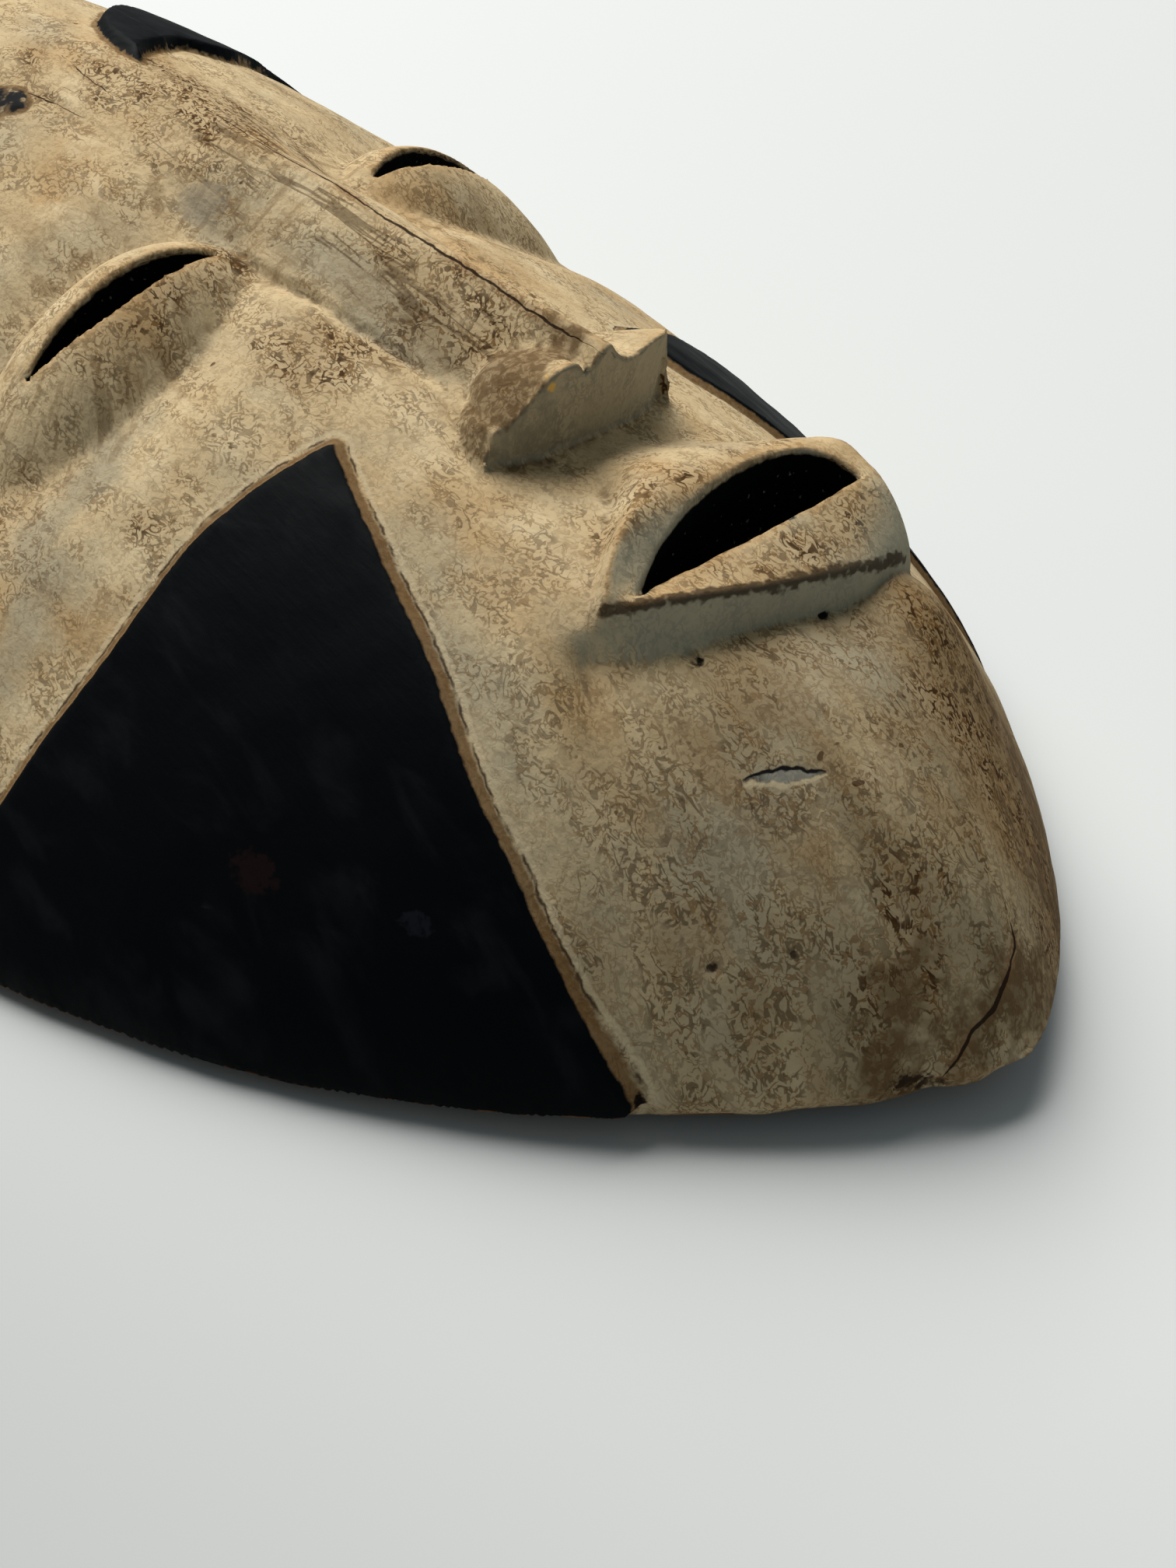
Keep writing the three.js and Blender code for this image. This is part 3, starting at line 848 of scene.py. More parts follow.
places = per_point(mask, "co") / MM
normals = per_point(mask, "normal")
front = on_front(places, normals)
field, brow = borders(places)
brow_lift = mix(*BROW_LIFT, places[:, 0] > 0)
move = front * (FIELD_LIFT * ease(0, FIELD_BEVEL, field) + brow_lift * ease(0, BROW_BEVEL, brow))
for number, (size, depth) in enumerate(KNIFE_MARKS):
    move += front * depth * lumps(places, size, KNIFE_SEED + number)
for number, (size, depth) in enumerate(BACK_MARKS):
    marks = lumps(places, size, BACK_SEED + number)
    move += (1 - front) * depth * marks * ease(*FLAT_RIM, places[:, 2])
for centre, reach, depth in CHIPS:
    move -= depth * bell(np.linalg.norm(places - centre, axis=1), 0, reach)
set_points(mask, (places + move[:, None] * normals) * MM)
print(f"relief between {move.min():.2f} and {move.max():.2f} mm")

# %% [markdown]
# ## Fewer triangles
#
# The even skin has more triangles than the shape needs. The decimate modifier keeps small ones at
# the edges and lets them grow where the wood is smooth, so the file gets lighter and looks the same.

# %% Thin out the skin
MOST_TRIANGLES = 195000
change(mask, "DECIMATE", ratio=min(1.0, MOST_TRIANGLES / (2 * len(mask.data.polygons))))
bpy.ops.object.shade_smooth()
mask.data.calc_loop_triangles()
print("mask:", len(mask.data.loop_triangles), "triangles")

# %% [markdown]
# ## Measuring the wood for the painter
#
# Paint wears off raised edges and dirt gathers in creases. To follow that, every point of the mesh
# gets a few measured values: how far it stands proud, how deep it lies in an opening, how near it
# is to an outline, a stain or a crack. They could be baked to pictures, but values on the points
# need no unwrapping, and the material reads them by name.

# %% Where the cracks and the stains are
CRACKS = [
    ([(0, 40, 94), (0.5, 20, 92), (0.8, 4, 90), (0, -14, 89), (-0.4, -27, 88), (-1.4, -40, 88),
      (-1.8, -50, 86), (-1.4, -58, 85), (-0.6, -64, 84)], 0.24),
    ([(3.6, -143.5, 27), (3.2, -145, 24), (-2.1, -147.3, 20), (-4, -147.6, 18), (-7.5, -147.4, 16),
      (-9.8, -147.6, 13), (-12.9, -147.2, 9)], 0.4),
    ([(-15.8, 67.1, 91), (-15, 63, 91), (-14.7, 61.7, 91), (-13.4, 51.2, 90)], 0.16),
    ([(-6.3, 68.8, 94), (-7.3, 60, 93), (-7.1, 54.8, 92)], 0.16),
]
SPOTS = {
    "stain": [
        ((0, 42), (13, 30), 0.9), ((-30, 6), (17, 7), 1.0), ((-22, -24), (9, 12), 1.0),
        ((-64, 4), (10, 8), 0.7), ((-3, -32), (7, 24), 0.8), ((-9, -57), (8, 6), 1.0),
        ((-15, -84), (7, 7), 0.6), ((2, -84), (18, 6), 0.8), ((10, -98), (18, 4), 1.0),
        ((20, -126), (11, 18), 1.4), ((-12, -140), (10, 8), 0.6), ((-14, -94), (12, 3), 0.8),
        ((-48, -22), (24, 6), 0.5), ((-14, 72), (9, 12), 0.7),
    ],
    "grey": [
        ((-9, -22), (4, 24), 1.1), ((-56, -6), (16, 6), 0.9), ((-38, -72), (6, 26), 0.9),
        ((-12, 14), (9, 9), 0.8), ((-70, -14), (14, 9), 0.9), ((0, -112), (22, 8), 0.7),
        ((-24, -118), (14, 12), 0.7),
    ],
    "worn": [
        ((-9.5, -54), (7, 7), 1.6), ((-2.6, -58), (4, 4), 1.2), ((22, -138), (10, 14), 0.7),
        ((-20, 76), (6, 6), 0.5), ((-16, -141), (9, 5), 0.8), ((32, -126), (11, 18), 0.7),
        ((2, -148), (22, 4), 0.8),
    ],
}
print(len(CRACKS), "cracks and", {name: len(spots) for name, spots in SPOTS.items()})

# %% [markdown]
# ## How the values are measured
#
# A point stands proud when it lies outside the average of its neighbours, taken over a short way for
# edges and over a long way for whole forms. A crack's path is first laid on the skin, and each point
# then gets its distance across it. A straight ray from above finds the uncut face over a slit.

# %% Helpers that measure
CRACK_REACH = 4
CRACK_TAPER = 0.6
CRACK_TIP = 0.03
NO_CRACK = (9.0, -1.0)
NARROW = 4
BROAD = 40
OPENING_REACH = 0.9
OPENING_STEPS = 41
ABOVE_ALL = 0.2


def store(name, values):
    layer = mask.data.attributes.new(name, "FLOAT", "POINT")
    layer.data.foreach_set("value", np.ascontiguousarray(values, dtype=np.float32))
    print(f"{name}: {values.min():.2f} to {values.max():.2f}")


def averaged(values, ends, times):
    """Average each point's values with its neighbours', several times over."""
    first, second = ends
    count = len(values)
    degree = np.bincount(ends.ravel(), minlength=count)
    for _ in range(times):
        sums = [
            np.bincount(first, column[second], count) + np.bincount(second, column[first], count)
            for column in values.T
        ]
        values = (values + np.stack(sums, 1) / degree[:, None]) / 2
    return values


def crack_fields(places, normals):
    """Distance across the nearest crack, and that crack's half width there."""
    skin = BVHTree.FromObject(mask, bpy.context.evaluated_depsgraph_get())
    across, half = (np.full(len(places), value) for value in NO_CRACK)
    nearest = np.full(len(places), float(CRACK_REACH))
    for path, width in CRACKS:
        path = [np.array(skin.find_nearest(Vector(p) * MM)[0]) / MM for p in path]
        for number, (a, b) in enumerate(zip(path, path[1:])):
            run = b - a
            t = clamp((places - a) @ run / (run @ run))
            off = places - a - t[:, None] * run
            distance = np.linalg.norm(off, axis=1)
            sideways = np.cross(run / np.linalg.norm(run), normals)
            closer = distance < nearest
            along = (number + t) / (len(path) - 1)
            across = np.where(closer, (off * sideways).sum(1), across)
            half = np.where(closer, width * np.sin(np.pi * along) ** CRACK_TAPER - CRACK_TIP, half)
            nearest = np.where(closer, distance, nearest)
    return across, half


def depth_in_openings(places):
    """How far each point in a slit or in the mouth lies below the uncut face."""
    depth = np.zeros(len(places))
    for lower, upper in OPENINGS.values():
        steps = np.linspace(-1, 1, OPENING_STEPS)
        loop = np.concatenate((np.stack(lower(steps), 1), np.stack(upper(steps[::-1]), 1)[1:-1]))
        near = inside_by(places[:, :2], loop, smooth=False) > -OPENING_REACH
        for index in np.nonzero(near)[0]:
            x, y, z = places[index] * MM
            hit = uncut.ray_cast(Vector((x, y, ABOVE_ALL)), Vector((0, 0, -1)))[0]
            if hit is not None:
                depth[index] = (hit.z - z) / MM
    return depth


print("cracks are measured up to", CRACK_REACH, "mm away")

# %% [markdown]
# ## Writing the values
#
# Each value becomes an attribute of the mesh, one number for every point. Its smallest and largest
# number are printed, because a value that is the same everywhere would show a mistake at once.

# %% Write the measurements
places = per_point(mask, "co") / MM
normals = per_point(mask, "normal")
ends = np.empty(len(mask.data.edges) * 2, dtype=np.int32)
mask.data.edges.foreach_get("vertices", ends)
ends = ends.reshape(-1, 2).T
narrow = averaged(places, ends, NARROW)
broad = averaged(narrow, ends, BROAD)
store("proud", ((places - narrow) * normals).sum(1))
store("swell", ((places - broad) * normals).sum(1))
field, brow = borders(places)
store("field", field)
store("brow", brow)
for name, spots in SPOTS.items():
    total = np.zeros(len(places))
    for (spot_x, spot_y), (wide, tall), strength in spots:
        away = np.hypot((places[:, 0] - spot_x) / wide, (places[:, 1] - spot_y) / tall)
        total = np.maximum(total, strength * bell(away, 0, 1))
    store(name, total)
across, half = crack_fields(places, normals)
store("across", across)
store("half", half)
store("front", on_front(places, normals))
store("depth", depth_in_openings(places))

# %% [markdown]
# ## The walls under the nose and the lip
#
# Two steep walls face away from the lamp: the cut under the nose and the wall below the lower lip.
# They are painted a darker grey, partly a greyer clay that no hand reaches and partly painted shade.
# Dirt draws a dark line along the lip's edge. Soft zones mark the walls, and the line is found by
# its distance to the lip's own table, so it sits on the carved edge.

# %% Mark the walls and the edge of the lip
WALL_ZONES = [
    ((28, 26), (-108, -105), (-84, -88), 1.0),
    ((21, 19), (-70, -68), (-54, -56), 0.8),
]
STEEP = (0.45, 0.8)
LIP_LINE_BACK = 0.3
LIP_LINE_REACH = 1.3
LIP_LINE_ENDS = ((-28, -24), (27, 22))
across_x, along_y, up_z = places.T
wall = np.zeros(len(places))
for side, low, high, strength in WALL_ZONES:
    zone = ease(*side, np.abs(across_x)) * ease(*low, along_y) * ease(*high, along_y)
    wall = np.maximum(wall, zone * strength)
# Steep walls facing away from the lamp: their grey is partly clay and partly painted shade.
store("wall", ease(*STEEP, -normals[:, 1]) * wall)
edge_y = lip_front(across_x)
edge_z = crown(edge_y) + np.interp(across_x, LIP_X, LIP_EDGE_RISE)
lip_line = bell(np.hypot(along_y - edge_y - LIP_LINE_BACK, up_z - edge_z), 0, LIP_LINE_REACH)
for end in LIP_LINE_ENDS:
    lip_line = lip_line * ease(*end, across_x)
store("lip_line", lip_line)

# %% [markdown]
# ## A small language for paint
#
# A shader is a sum of many small sums. Wrapping each node output in a class lets them be written as
# ordinary Python expressions, which are shorter to read than a web of links.

# %% Sockets that can be added and multiplied
def joined_by(operation):
    """An operator for sockets and numbers, and its reflected form."""
    return (
        lambda self, other: self.work(operation, self, other),
        lambda self, other: self.work(operation, other, self),
    )


class Socket:
    """One output in a material; sums of sockets and numbers become nodes."""

    def __init__(self, tree, output):
        self.tree = tree
        self.output = output

    def node(self, kind, settings, inputs, result=0):
        """Any other node: its type, its settings, its inputs and which output counts."""
        made = self.tree.nodes.new("ShaderNode" + kind)
        for name, value in settings.items():
            setattr(made, name, value)
        for key, value in inputs.items():
            if isinstance(value, Socket):
                self.tree.links.new(value.output, made.inputs[key])
            else:
                made.inputs[key].default_value = value
        return Socket(self.tree, made.outputs[result])

    def work(self, operation, *terms):
        return self.node("Math", {"operation": operation}, dict(enumerate(terms)))

    __add__, __radd__ = joined_by("ADD")
    __sub__, __rsub__ = joined_by("SUBTRACT")
    __mul__, __rmul__ = joined_by("MULTIPLY")
    __truediv__, __rtruediv__ = joined_by("DIVIDE")

    def __abs__(self):
        return self.work("ABSOLUTE", self)

    def between(self, start, end):
        """0 at start and 1 at end; start may be the larger one."""
        ends = {"Value": self, "From Min": start, "From Max": end}
        return self.node("MapRange", {"interpolation_type": "SMOOTHSTEP"}, ends)


print("a socket's own words:", [name for name in vars(Socket) if not name.startswith("_")])

# %% [markdown]
# ## Colours, grain and coats
#
# Paint needs a few words of its own. colour turns a screen colour into light, and coats lays paints
# over each other as a painter does. grain is a cloudy noise, and it takes a size, how far it is drawn
# out, its detail, its twist and its seed, in this order. Its numbers are millimetres on the wood, so
# nothing needs unwrapping.

# %% Words for paint
def colour(red, green, blue):
    """Three numbers of a colour on a screen, turned into the light it reflects."""
    parts = [value / 255 for value in (red, green, blue)]
    return (*(v / 12.92 if v < 0.04 else ((v + 0.055) / 1.055) ** 2.4 for v in parts), 1.0)


def material(name):
    """A new material, its main shader and its object coordinates in millimetres."""
    made = bpy.data.materials.new(name)
    made.use_nodes = True
    tree = made.node_tree
    coordinates = Socket(tree, tree.nodes.new("ShaderNodeTexCoord").outputs["Object"])
    place = coordinates.node("VectorMath", {"operation": "SCALE"}, {0: coordinates, "Scale": 1 / MM})
    return made, tree.nodes["Principled BSDF"], place


wood, shader, place = material("painted_wood")


def grain(size, along=1.0, detail=2.0, twist=0.0, seed=0.0):
    """Cloudy noise around 0, its patches size mm wide and drawn out along the mask."""
    shrink = (1 / size, 1 / (size * along), 1 / (size * along))
    terms = {0: place, 1: shrink, 2: (seed,) * 3}
    spread = place.node("VectorMath", {"operation": "MULTIPLY_ADD"}, terms)
    settings = {"Vector": spread, "Scale": 1.0, "Detail": detail, "Distortion": twist}
    return place.node("TexNoise", {}, settings) - 0.5


def measured(name):
    """One of the values stored on the mesh."""
    return place.node("Attribute", {"attribute_name": name}, {}, "Fac")


def coats(ground, *layers):
    """A ground with paints laid over it in turn, each with the share it covers."""
    for paint, share in layers:
        ground = share.node("Mix", {"data_type": "RGBA"}, {0: share, 6: ground, 7: paint}, 2)
    return ground


print("paint tools ready for", wood.name)

# %% [markdown]
# ## White clay
#
# The ground is kaolin, a white clay rubbed on with water. Age turned it cream. It is never one
# colour: it is warmer where hands rub it, greyer in places and darkest on the chin, so five creams
# are laid over each other with cloudy edges. The chin's dark cream is partly a greyer clay and
# partly painted shade, since the chin faces away from the lamp.

# %% The clay ground
CREAM = colour(199, 176, 137)
PALE_CREAM = colour(214, 193, 155)
WARM_CREAM = colour(184, 149, 102)
GREY_CREAM = colour(160, 149, 124)
# The chin's darker cream: partly greyer clay, partly painted shade where the chin faces away from the
# lamp.
CHIN_GREY_AND_SHADE = colour(126, 114, 90)

axes = [place.node("SeparateXYZ", {}, {0: place}, number) for number in range(3)]
x, y = axes[:2]
proud, swell, front = measured("proud"), measured("swell"), measured("front")
field = measured("field") + grain(1.6, seed=1) * 0.8
brow = measured("brow") + grain(1.6, seed=2) * 1.2
depth = measured("depth") + grain(1.5, seed=3) * 0.8
chin = y.between(-96, -112)

chin_clouds = grain(9, 2.5, 2, 0, 31).between(-0.15, 0.15)
ground = coats(
    CREAM,
    (WARM_CREAM, grain(22, 1.6, 3, seed=4).between(-0.02, 0.2) * 0.75),
    (PALE_CREAM, grain(6, 2.2, 3, seed=5).between(0.0, 0.2) * 0.7),
    (GREY_CREAM, grain(17, 1.4, 3, seed=6).between(0.0, 0.2) * 0.5),
    # the chin darkened: greyer clay and painted shade
    (CHIN_GREY_AND_SHADE, chin * (chin_clouds * 0.4 + 0.4)),
)
print("clay ground laid")

# %% [markdown]
# ## Brown wash and worm-like strokes
#
# A thin brown wash was wiped over the clay. It stayed in the brush marks, and it dried there as
# countless short wavy strokes half a millimetre wide. The contour lines of a cloudy noise have just
# that shape, and a finer noise breaks them into short pieces. They are strong only in patches that
# run along the mask, as the wiping hand did. Painting thousands of them by hand would take days.

# %% Strokes in the wash
STROKE = colour(108, 78, 43)
DARK_STROKE = colour(68, 46, 24)
WASH = colour(142, 113, 75)


def worms(size, width, along, seed):
    """Thin wavy lines: the contour of a cloudy noise."""
    return abs(grain(size, along, 2, 1.3, seed)).between(width, width * 0.4)


bands = grain(7, 5, 2, 0.4, 7).between(-0.06, 0.12)
patches = grain(5.0, 2.2, 2, 0.3, 8)
dark_side = chin * x.between(2, 16)
stained = (measured("stain") + grain(5, 2, 3, 0.3, 26) * 1.6).between(0.15, 0.85)
greyed = (measured("grey") + grain(6, 2, 3, 0.3, 27) * 1.4).between(0.15, 0.85)
wash = bands * grain(12, 2, 2, 0, 9).between(-0.1, 0.12)
breaks = grain(1.3, 1, 1, 0, 12)
strokes = worms(2.2, 0.07, 1.9, 10) * breaks.between(-0.05, 0.01)
fine_strokes = worms(1.5, 0.075, 1.5, 11) * breaks.between(0.05, -0.01)
dense = patches.between(-0.08, 0.08) * 0.5 + stained * 0.6 + chin * 0.2
ground = coats(
    ground,
    (GREY_CREAM, greyed * 0.8),
    (WASH, stained * 0.35),
    (WASH, wash * (0.3 + chin * 0.15) + dark_side * 0.5),
    (STROKE, fine_strokes * (0.25 + dense * 0.6)),
    (DARK_STROKE, strokes * (0.1 + dense * 0.8)),
)
print("wash and strokes laid")

# %% [markdown]
# ## Streaks and fans
#
# Along the bridge the brush ran straight from the forehead to the tip and left long streaks, which
# are the same contour lines drawn out sixteen times. Around the eyes it followed the lids. A noise
# read by direction and by distance from the eye's middle gives strokes that point away from it.

# %% Streaks on the bridge and fans around the eyes
streaks = abs(grain(1.7, 16, 2, 0.4, 28)).between(0.06, 0.02)
bridge = abs(x).between(14, 9) * y.between(-62, -48) * y.between(60, 30)
streak_gaps = grain(4, 4, 1, 0, 29).between(-0.02, 0.1)
FAN_FLAT = 1.6
FAN_RAYS = 9.0
FAN_LENGTH = 7
FAN_SPREAD = 60
out_x = abs(x) - EYE_X
out_y = (y - EYE_Y) * FAN_FLAT
turn = place.work("ARCTAN2", out_y, out_x)
away = place.work("SQRT", out_x * out_x + out_y * out_y)
fan_place = place.node("CombineXYZ", {}, {0: turn * FAN_RAYS, 1: away / FAN_LENGTH, 2: x / FAN_SPREAD})
rays = fan_place.node("TexNoise", {}, {"Vector": fan_place, "Scale": 1.0, "Detail": 3.0}) - 0.5
fan = rays.between(0.02, 0.14) * away.between(44, 30) * away.between(12, 20)
streaks = streaks * bridge * streak_gaps
ground = coats(ground, (DARK_STROKE, streaks * 0.6), (STROKE, fan * 0.4))
print("streaks and fans laid")

# %% [markdown]
# ## Wear and dirt
#
# Points that stand proud have lost their clay and show brown wood. Points in a crease have
# collected dark dirt. Noise breaks both up, since neither wear nor dirt ever makes an even line.

# %% Worn edges and dirty creases
WORN = colour(98, 76, 50)
DIRT = colour(58, 43, 29)
rub = grain(4, 1, 3, 0, 13)
broken = grain(1.6, 1.5, 2, 0.5, 25).between(-0.06, 0.08)
edge = (proud + rub * 0.15).between(0.08, 0.2)
crease = (rub * 0.12 - proud).between(0.05, 0.16)
valley = (rub * 0.8 - swell).between(0.3, 1.1)
ridge = (swell + rub * 0.9).between(0.45, 1.3)
bald = (measured("worn") + rub * 1.6 + proud * 0.8).between(0.35, 0.75)
chip_places = grain(28, 1, 1, 0, 15).between(0, 0.15)
chips = grain(2.4, 1, 1, 0, 14).between(0.22, 0.26) * chip_places
ground = coats(
    ground,
    (WARM_CREAM, ridge * 0.45),
    (WASH, valley * (0.05 + broken * 0.2)),
    (WORN, edge * (0.2 + broken * 0.5)),
    (WORN, bald * (0.6 + broken * 0.3)),
    (DIRT, crease * (0.05 + broken * 0.4)),
    (DARK_STROKE, chips * 0.8),
)
print("wear and dirt laid")

# %% [markdown]
# ## Black fields, brows and openings
#
# Soot fills the cheek triangles, the brows and the inner walls of the slits and the mouth. Along
# each border it has worn off the bevel, which leaves a brown band, a fine dark line beside it and a
# pale line outside. All are strips of one measured distance, so they follow the carving exactly.

# %% Black paint
BLACK = colour(3, 5, 7)
SCUFFED = colour(18, 19, 21)
BEVEL = colour(106, 78, 46)
PALE_LINE = colour(200, 182, 148)
# A grey clay, darkened as painted shade on the walls; it also colours the specks in the openings.
GREY_CLAY_AND_SHADE = colour(152, 149, 130)


def strip(value, start, end, soft):
    """1 while the value is between start and end."""
    return value.between(start - soft, start + soft) * value.between(end + soft, end - soft)


soot = coats(BLACK, (SCUFFED, grain(5, 3, 4, 0.4, 16).between(0.0, 0.3)))
lip_line = (measured("lip_line") + rub * 0.6 + breaks * 1.3).between(0.4, 0.8)
near_brow = x.between(0, -8) * x.between(-28, -22)
thin_soot = near_brow * rub.between(0.02, -0.1) * 0.8
black_field = field.between(1.0, 1.5)
black_brow = brow.between(0.0, 0.4)
black_inside = depth.between(0.5, 1.1) * depth.between(18, 12)
specks = grain(0.9, 1, 1, 0, 32).between(0.2, 0.25) * depth.between(1, 4)
painted = coats(
    ground,
    # grey clay and painted shade on the walls that face away from the lamp
    (GREY_CLAY_AND_SHADE, measured("wall") * 0.75),
    (DIRT, lip_line * 0.85),
    (PALE_LINE, strip(field, -1.5, -0.8, 0.2) * 0.5),
    (BEVEL, strip(field, -0.3, 1.5, 0.3) * 0.85),
    (soot, black_field),
    (DIRT, strip(field, -0.75, -0.4, 0.15) * rub.between(-0.1, 0.05) * 0.9),
    (BEVEL, strip(brow, -0.8, 0.4, 0.3) * 0.7),
    (WORN, near_brow * brow.between(-1.2, 0.4) * broken),
    (soot, black_brow * (1 - thin_soot)),
    (BLACK, black_inside),
    (GREY_CLAY_AND_SHADE, black_inside * specks * 0.5),
)
print("black laid on")

# %% [markdown]
# ## Cracks
#
# Old wood checks along its grain: one long fine crack follows the ridge of the nose, and a wider
# one opens in the end grain of the chin. Each is drawn where the measured distance across it is
# smaller than its half width. A groove so fine would need far more triangles, so it is colour and
# bump alone.

# %% Cracks
CRACK = colour(38, 26, 18)
STAIN = colour(120, 86, 52)
wobble = grain(3, 1, 3, 0, 17) * 0.9
across = measured("across") + wobble
half = measured("half")
crack = (half + rub * 0.5 - abs(across)).between(-0.08, 0.08)
stain_clouds = grain(5, 2, 2, 0, 18).between(-0.1, 0.1)
stain = (half + 1.4 - abs(across)).between(0, 1.6) * half.between(0, 0.2) * stain_clouds
painted = coats(painted, (STAIN, stain * 0.55), (CRACK, crack * 0.95))
print("cracks drawn")

# %% [markdown]
# ## Marks of use
#
# Chips, specks and smudges make this one particular mask. Each is a soft egg at its place on the
# wood, with three reaches, a colour and a strength, and a noise frays its border. A table of them
# is easy to add to, and one loop paints them all.

# %% Marks of use
MARKS = [
    ("gold fleck", (-8.6, -62.4, 81), (0.7, 1.0, 1.2), (214, 172, 92), 1.0),
    ("blue smudge", (-8.7, -21.9, 84), (1.0, 1.8, 2), (58, 60, 72), 0.8),
    ("grey smudge", (-11.9, 19.5, 84), (4, 4.5, 6), (128, 120, 106), 0.5),
    ("red patch", (-67.9, -67.1, 28), (3, 4, 3), (30, 16, 15), 0.6),
    ("grey oval", (-57.1, -89.2, 27), (2, 3, 2), (28, 28, 34), 0.6),
    ("speck", (6.4, -103.6, 56), (1, 1, 0.8), (20, 18, 16), 1.0),
    ("speck", (12.1, -104, 54.5), (1, 1, 0.9), (20, 18, 16), 1.0),
    ("speck", (-15.2, -100, 56.5), (1.2, 1.2, 0.8), (24, 20, 16), 1.0),
    ("rim chip", (-16.5, -145, 9.2), (3.2, 2.4, 1.6), (44, 32, 22), 0.95),
    ("rim chip", (-13.4, -146.6, 7.6), (2.4, 2.4, 1.6), (36, 28, 22), 0.9),
    ("rim groove", (-44.8, -121.6, 6), (1.0, 1.4, 3.4), (24, 18, 14), 1.0),
    ("dark chip", (-33, -122, 26), (1.0, 0.6, 0.7), (40, 28, 20), 0.9),
    ("dark chip", (-24.5, -129.1, 27.7), (0.5, 0.9, 0.7), (50, 36, 24), 0.8),
]
nick = grain(1.2, 1, 2, 0, 30) * 3
for name, centre, reach, paint, strength in MARKS:
    offs = [(axis - middle) / size for axis, middle, size in zip(axes, centre, reach)]
    distance = offs[0] * offs[0] + offs[1] * offs[1] + offs[2] * offs[2]
    painted = coats(painted, (colour(*paint), (distance + nick).between(1.4, 0.5) * strength))
    print(name, "at", centre)

# %% [markdown]
# ## The mark on the chin
#
# Below the lip lies a flat lens-shaped flaw with a grey middle, a black line above and a pale edge
# below. It needs a sharper border than the soft marks have, so it gets its own two axes, one along
# it and one across, and the height of a sine curve between them is its half width.

# %% The mark on the chin
MARK_FROM = (-20.8, -114.0)
MARK_TO = (-11.1, -120.7)
MARK_BLACK = colour(26, 24, 24)
MARK_GREY = colour(128, 128, 120)
MARK_HALF = 0.9
mark_run = np.subtract(MARK_TO, MARK_FROM)
mark_length = float(np.hypot(*mark_run))
mark_along, mark_side = (mark_run / mark_length).tolist()
wave = grain(2.5, 1, 2, 0, 19) * 1.6
mark_u = ((x - MARK_FROM[0]) * mark_along + (y - MARK_FROM[1]) * mark_side + wave) / mark_length
mark_v = (y - MARK_FROM[1]) * mark_along - (x - MARK_FROM[0]) * mark_side + wave
lens = MARK_HALF * place.work("SINE", mark_u * math.pi) - abs(mark_v)
within = mark_u.between(0, 0.03) * mark_u.between(1, 0.97)
pale_edge = strip(lens, -0.4, 0.1, 0.15) * mark_v.between(0, -0.4)
rim_line = strip(lens, -0.15, 0.35, 0.12) * mark_v.between(-0.3, 0.2)
left_end = lens.between(-0.2, 0.2) * mark_u.between(0.3, 0.12) * broken
painted = coats(
    painted,
    (PALE_LINE, within * pale_edge * 0.7),
    (MARK_GREY, within * lens.between(0, 0.3) * 0.75),
    (MARK_BLACK, within * rim_line * rub.between(-0.14, -0.04)),
    (MARK_BLACK, within * left_end),
)
print(f"mark on the chin: {mark_length:.1f} mm long")

# %% [markdown]
# ## The bare back
#
# Nobody paints the inside of a mask. The hollow and the rim show plain wood, dark from sweat and
# smoke, with the grain running from chin to forehead. A noise drawn out along the mask gives the
# grain, and the stored front value tells where the paint ends.

# %% Bare wood
BARE = colour(112, 78, 48)
BARE_DARK = colour(66, 44, 28)
bare = coats(
    BARE,
    (BARE_DARK, grain(1.1, 22, 4, 0.2, 20).between(-0.1, 0.15) * 0.8),
    (BARE_DARK, grain(30, 1.5, 3, 0, 21).between(-0.1, 0.15) * 0.6),
)
covered = place.work("MAXIMUM", front.between(0.05, 0.35), black_inside)
finished = coats(bare, (painted, covered))
print("bare wood under the paint")

# %% [markdown]
# ## The finished surface
#
# Clay is dull and soot a little smoother, so the black is less rough. A fine bump gives the clay its
# crumbly skin and the black its brush lines. They are far too small to be worth triangles.

# %% The finished surface
SHEEN = 0.04
BUMP_STRENGTH = 0.7
BUMP_DEPTH = 0.5 * MM
black_share = place.work("MAXIMUM", black_field, black_brow)
roughness = 0.85 - black_share * 0.25 + grain(3, 2, 2, 0, 22) * 0.25
height = grain(0.9, 1.6, 3, 0.5, 23) * 0.5 - crack * 0.5
height = height * (1 - black_share * 0.8) + grain(0.7, 9, 3, 0.2, 24) * black_share * 0.12
relief = {"Strength": BUMP_STRENGTH, "Distance": BUMP_DEPTH, "Height": height}
bump = place.node("Bump", {}, relief)
shader.inputs["Specular IOR Level"].default_value = SHEEN
tree = wood.node_tree
tree.links.new(finished.output, shader.inputs["Base Color"])
tree.links.new(roughness.output, shader.inputs["Roughness"])
tree.links.new(bump.output, shader.inputs["Normal"])
mask.data.materials.clear()
mask.data.materials.append(wood)
print("painted_wood:", len(tree.nodes), "nodes")

# %% [markdown]
# ## Fastening
#
# Nothing on the mask moves, so it rides on the frame's root, and it stands in for the plain solid
# that the frame holds. The paint is named in a slot, so that it can be found again.

# %% Fasten the mask to the frame
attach(mask, "root")
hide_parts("mask")

# %% [markdown]
# ## The stage
#
# The mask lies on a pale studio floor, which is darker on the left than on the right. A second lamp
# could make that difference, but it would light the mask as well, so it is painted light and shade:
# the floor's own paint changes softly from a shaded grey on the left to a lit one on the right.

# %% The floor
FLOOR_SIZE = 6
FLOOR_ROUGHNESS = 0.6
FLOOR_LIGHT_GRADIENT = (-200, 40)
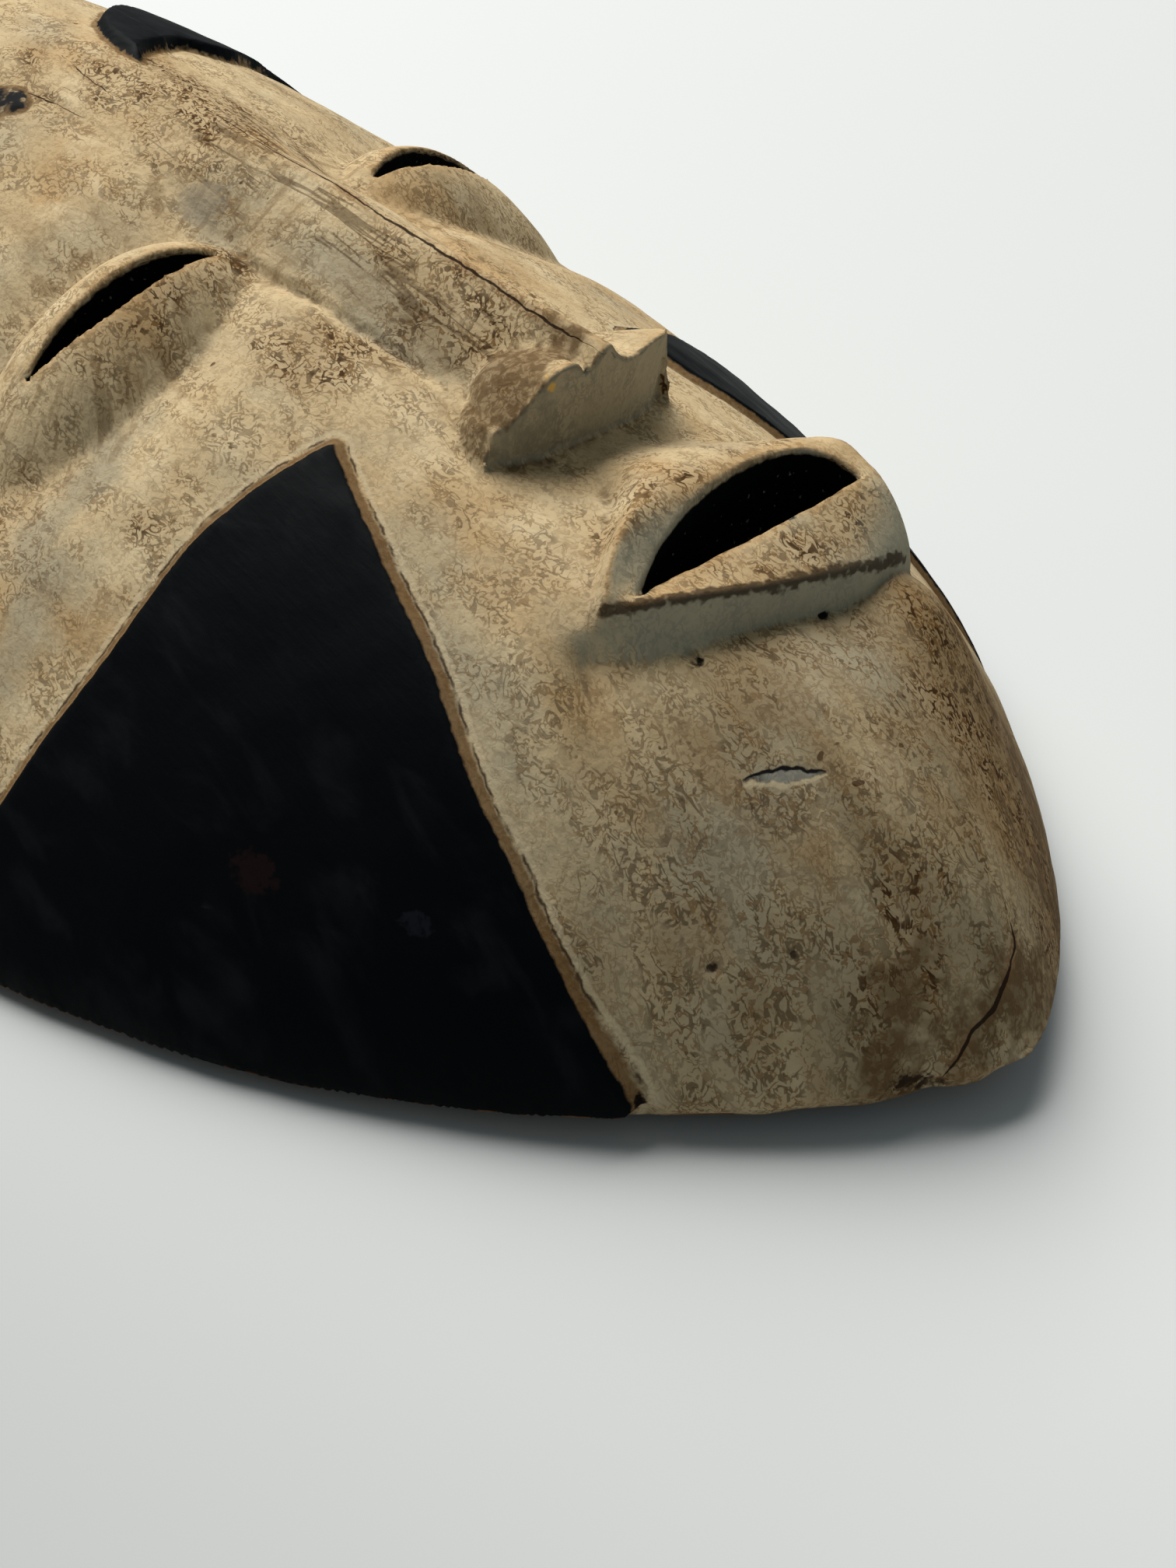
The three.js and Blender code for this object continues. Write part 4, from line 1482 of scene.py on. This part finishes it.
# Painted shade on the left of the floor and painted light on its right.
SHADED_LEFT_FLOOR = (0.365, 0.375, 0.37, 1)
LIT_RIGHT_FLOOR = (0.615, 0.625, 0.615, 1)
bpy.ops.object.select_all(action="DESELECT")
bpy.ops.mesh.primitive_plane_add(size=FLOOR_SIZE, location=(0, 0, 0))
floor = bpy.context.object
floor.name = "floor"
pale, floor_shader, spot = material("pale_floor")
floor_x = spot.node("SeparateXYZ", {}, {0: spot})
# the floor's painted light and shade, from left to right
painted_floor_light = coats(SHADED_LEFT_FLOOR, (LIT_RIGHT_FLOOR, floor_x.between(*FLOOR_LIGHT_GRADIENT)))
pale.node_tree.links.new(painted_floor_light.output, floor_shader.inputs["Base Color"])
floor_shader.inputs["Roughness"].default_value = FLOOR_ROUGHNESS
floor.data.materials.append(pale)
print("floor laid")

# %% [markdown]
# ## The camera
#
# The camera looks down at the mask's right cheek. Its direction, tilt and distance come from a fit to
# the mask's outline, because a camera set by eye would never show every edge in its place. The
# sensor is upright, so the picture is taller than wide.

# %% The camera
PICTURE_HEIGHT = 2016
FOCAL_PIXELS = 2400
SENSOR = 24.0
AZIMUTH = math.radians(-42.63)
ELEVATION = math.radians(38.23)
ROLL = math.radians(0.41)
DISTANCE = 339.09 * MM
TARGET = Vector((12.94, -47.5, -10.56)) * MM
NEAREST = 0.01

flat = math.cos(ELEVATION)
back = Vector((math.sin(AZIMUTH) * flat, -math.cos(AZIMUTH) * flat, math.sin(ELEVATION)))
level = Vector((math.cos(AZIMUTH), math.sin(AZIMUTH), 0))
upright = back.cross(level)
data = bpy.data.cameras.new("camera")
data.sensor_fit = "VERTICAL"
data.sensor_height = SENSOR
data.lens = SENSOR * FOCAL_PIXELS / PICTURE_HEIGHT
data.clip_start = NEAREST
camera = bpy.data.objects.new("camera", data)
bpy.context.scene.collection.objects.link(camera)
turned = Matrix((level, upright, back)).transposed() @ Matrix.Rotation(ROLL, 3, "Z")
camera.matrix_world = Matrix.Translation(TARGET + back * DISTANCE) @ turned.to_4x4()
bpy.context.scene.camera = camera
print("camera at", [round(v, 3) for v in camera.matrix_world.translation])

# %% [markdown]
# ## The light
#
# One large softbox stands beyond the forehead, high above the floor. It models the dome and leaves
# the underside of the nose and of the lip in shade. Its size gives the shadows soft borders, which a
# small lamp or a sun would not, and a weak cool sky fills them.

# %% The light
SKY = (0.8, 0.95, 1.0, 1)
SKY_STRENGTH = 0.2
LAMP_PLACE = Vector((0.3, 1.9, 3.1))
LAMP_SIZE = 3.0
LAMP_WATTS = 215
LAMP_COLOUR = (1.0, 0.985, 0.96)
world = bpy.data.worlds.new("studio")
world.use_nodes = True
sky = world.node_tree.nodes["Background"]
sky.inputs["Color"].default_value = SKY
sky.inputs["Strength"].default_value = SKY_STRENGTH
bpy.context.scene.world = world
lamp = bpy.data.lights.new("key", "AREA")
lamp.shape = "SQUARE"
lamp.size = LAMP_SIZE
lamp.energy = LAMP_WATTS
lamp.color = LAMP_COLOUR
softbox = bpy.data.objects.new("key", lamp)
bpy.context.scene.collection.objects.link(softbox)
softbox.location = LAMP_PLACE
softbox.rotation_euler = (-LAMP_PLACE).to_track_quat("-Z", "Y").to_euler()
print("softbox of", LAMP_SIZE, "m")
bpy.context.scene.view_settings.view_transform = "Standard"

# %% [markdown]
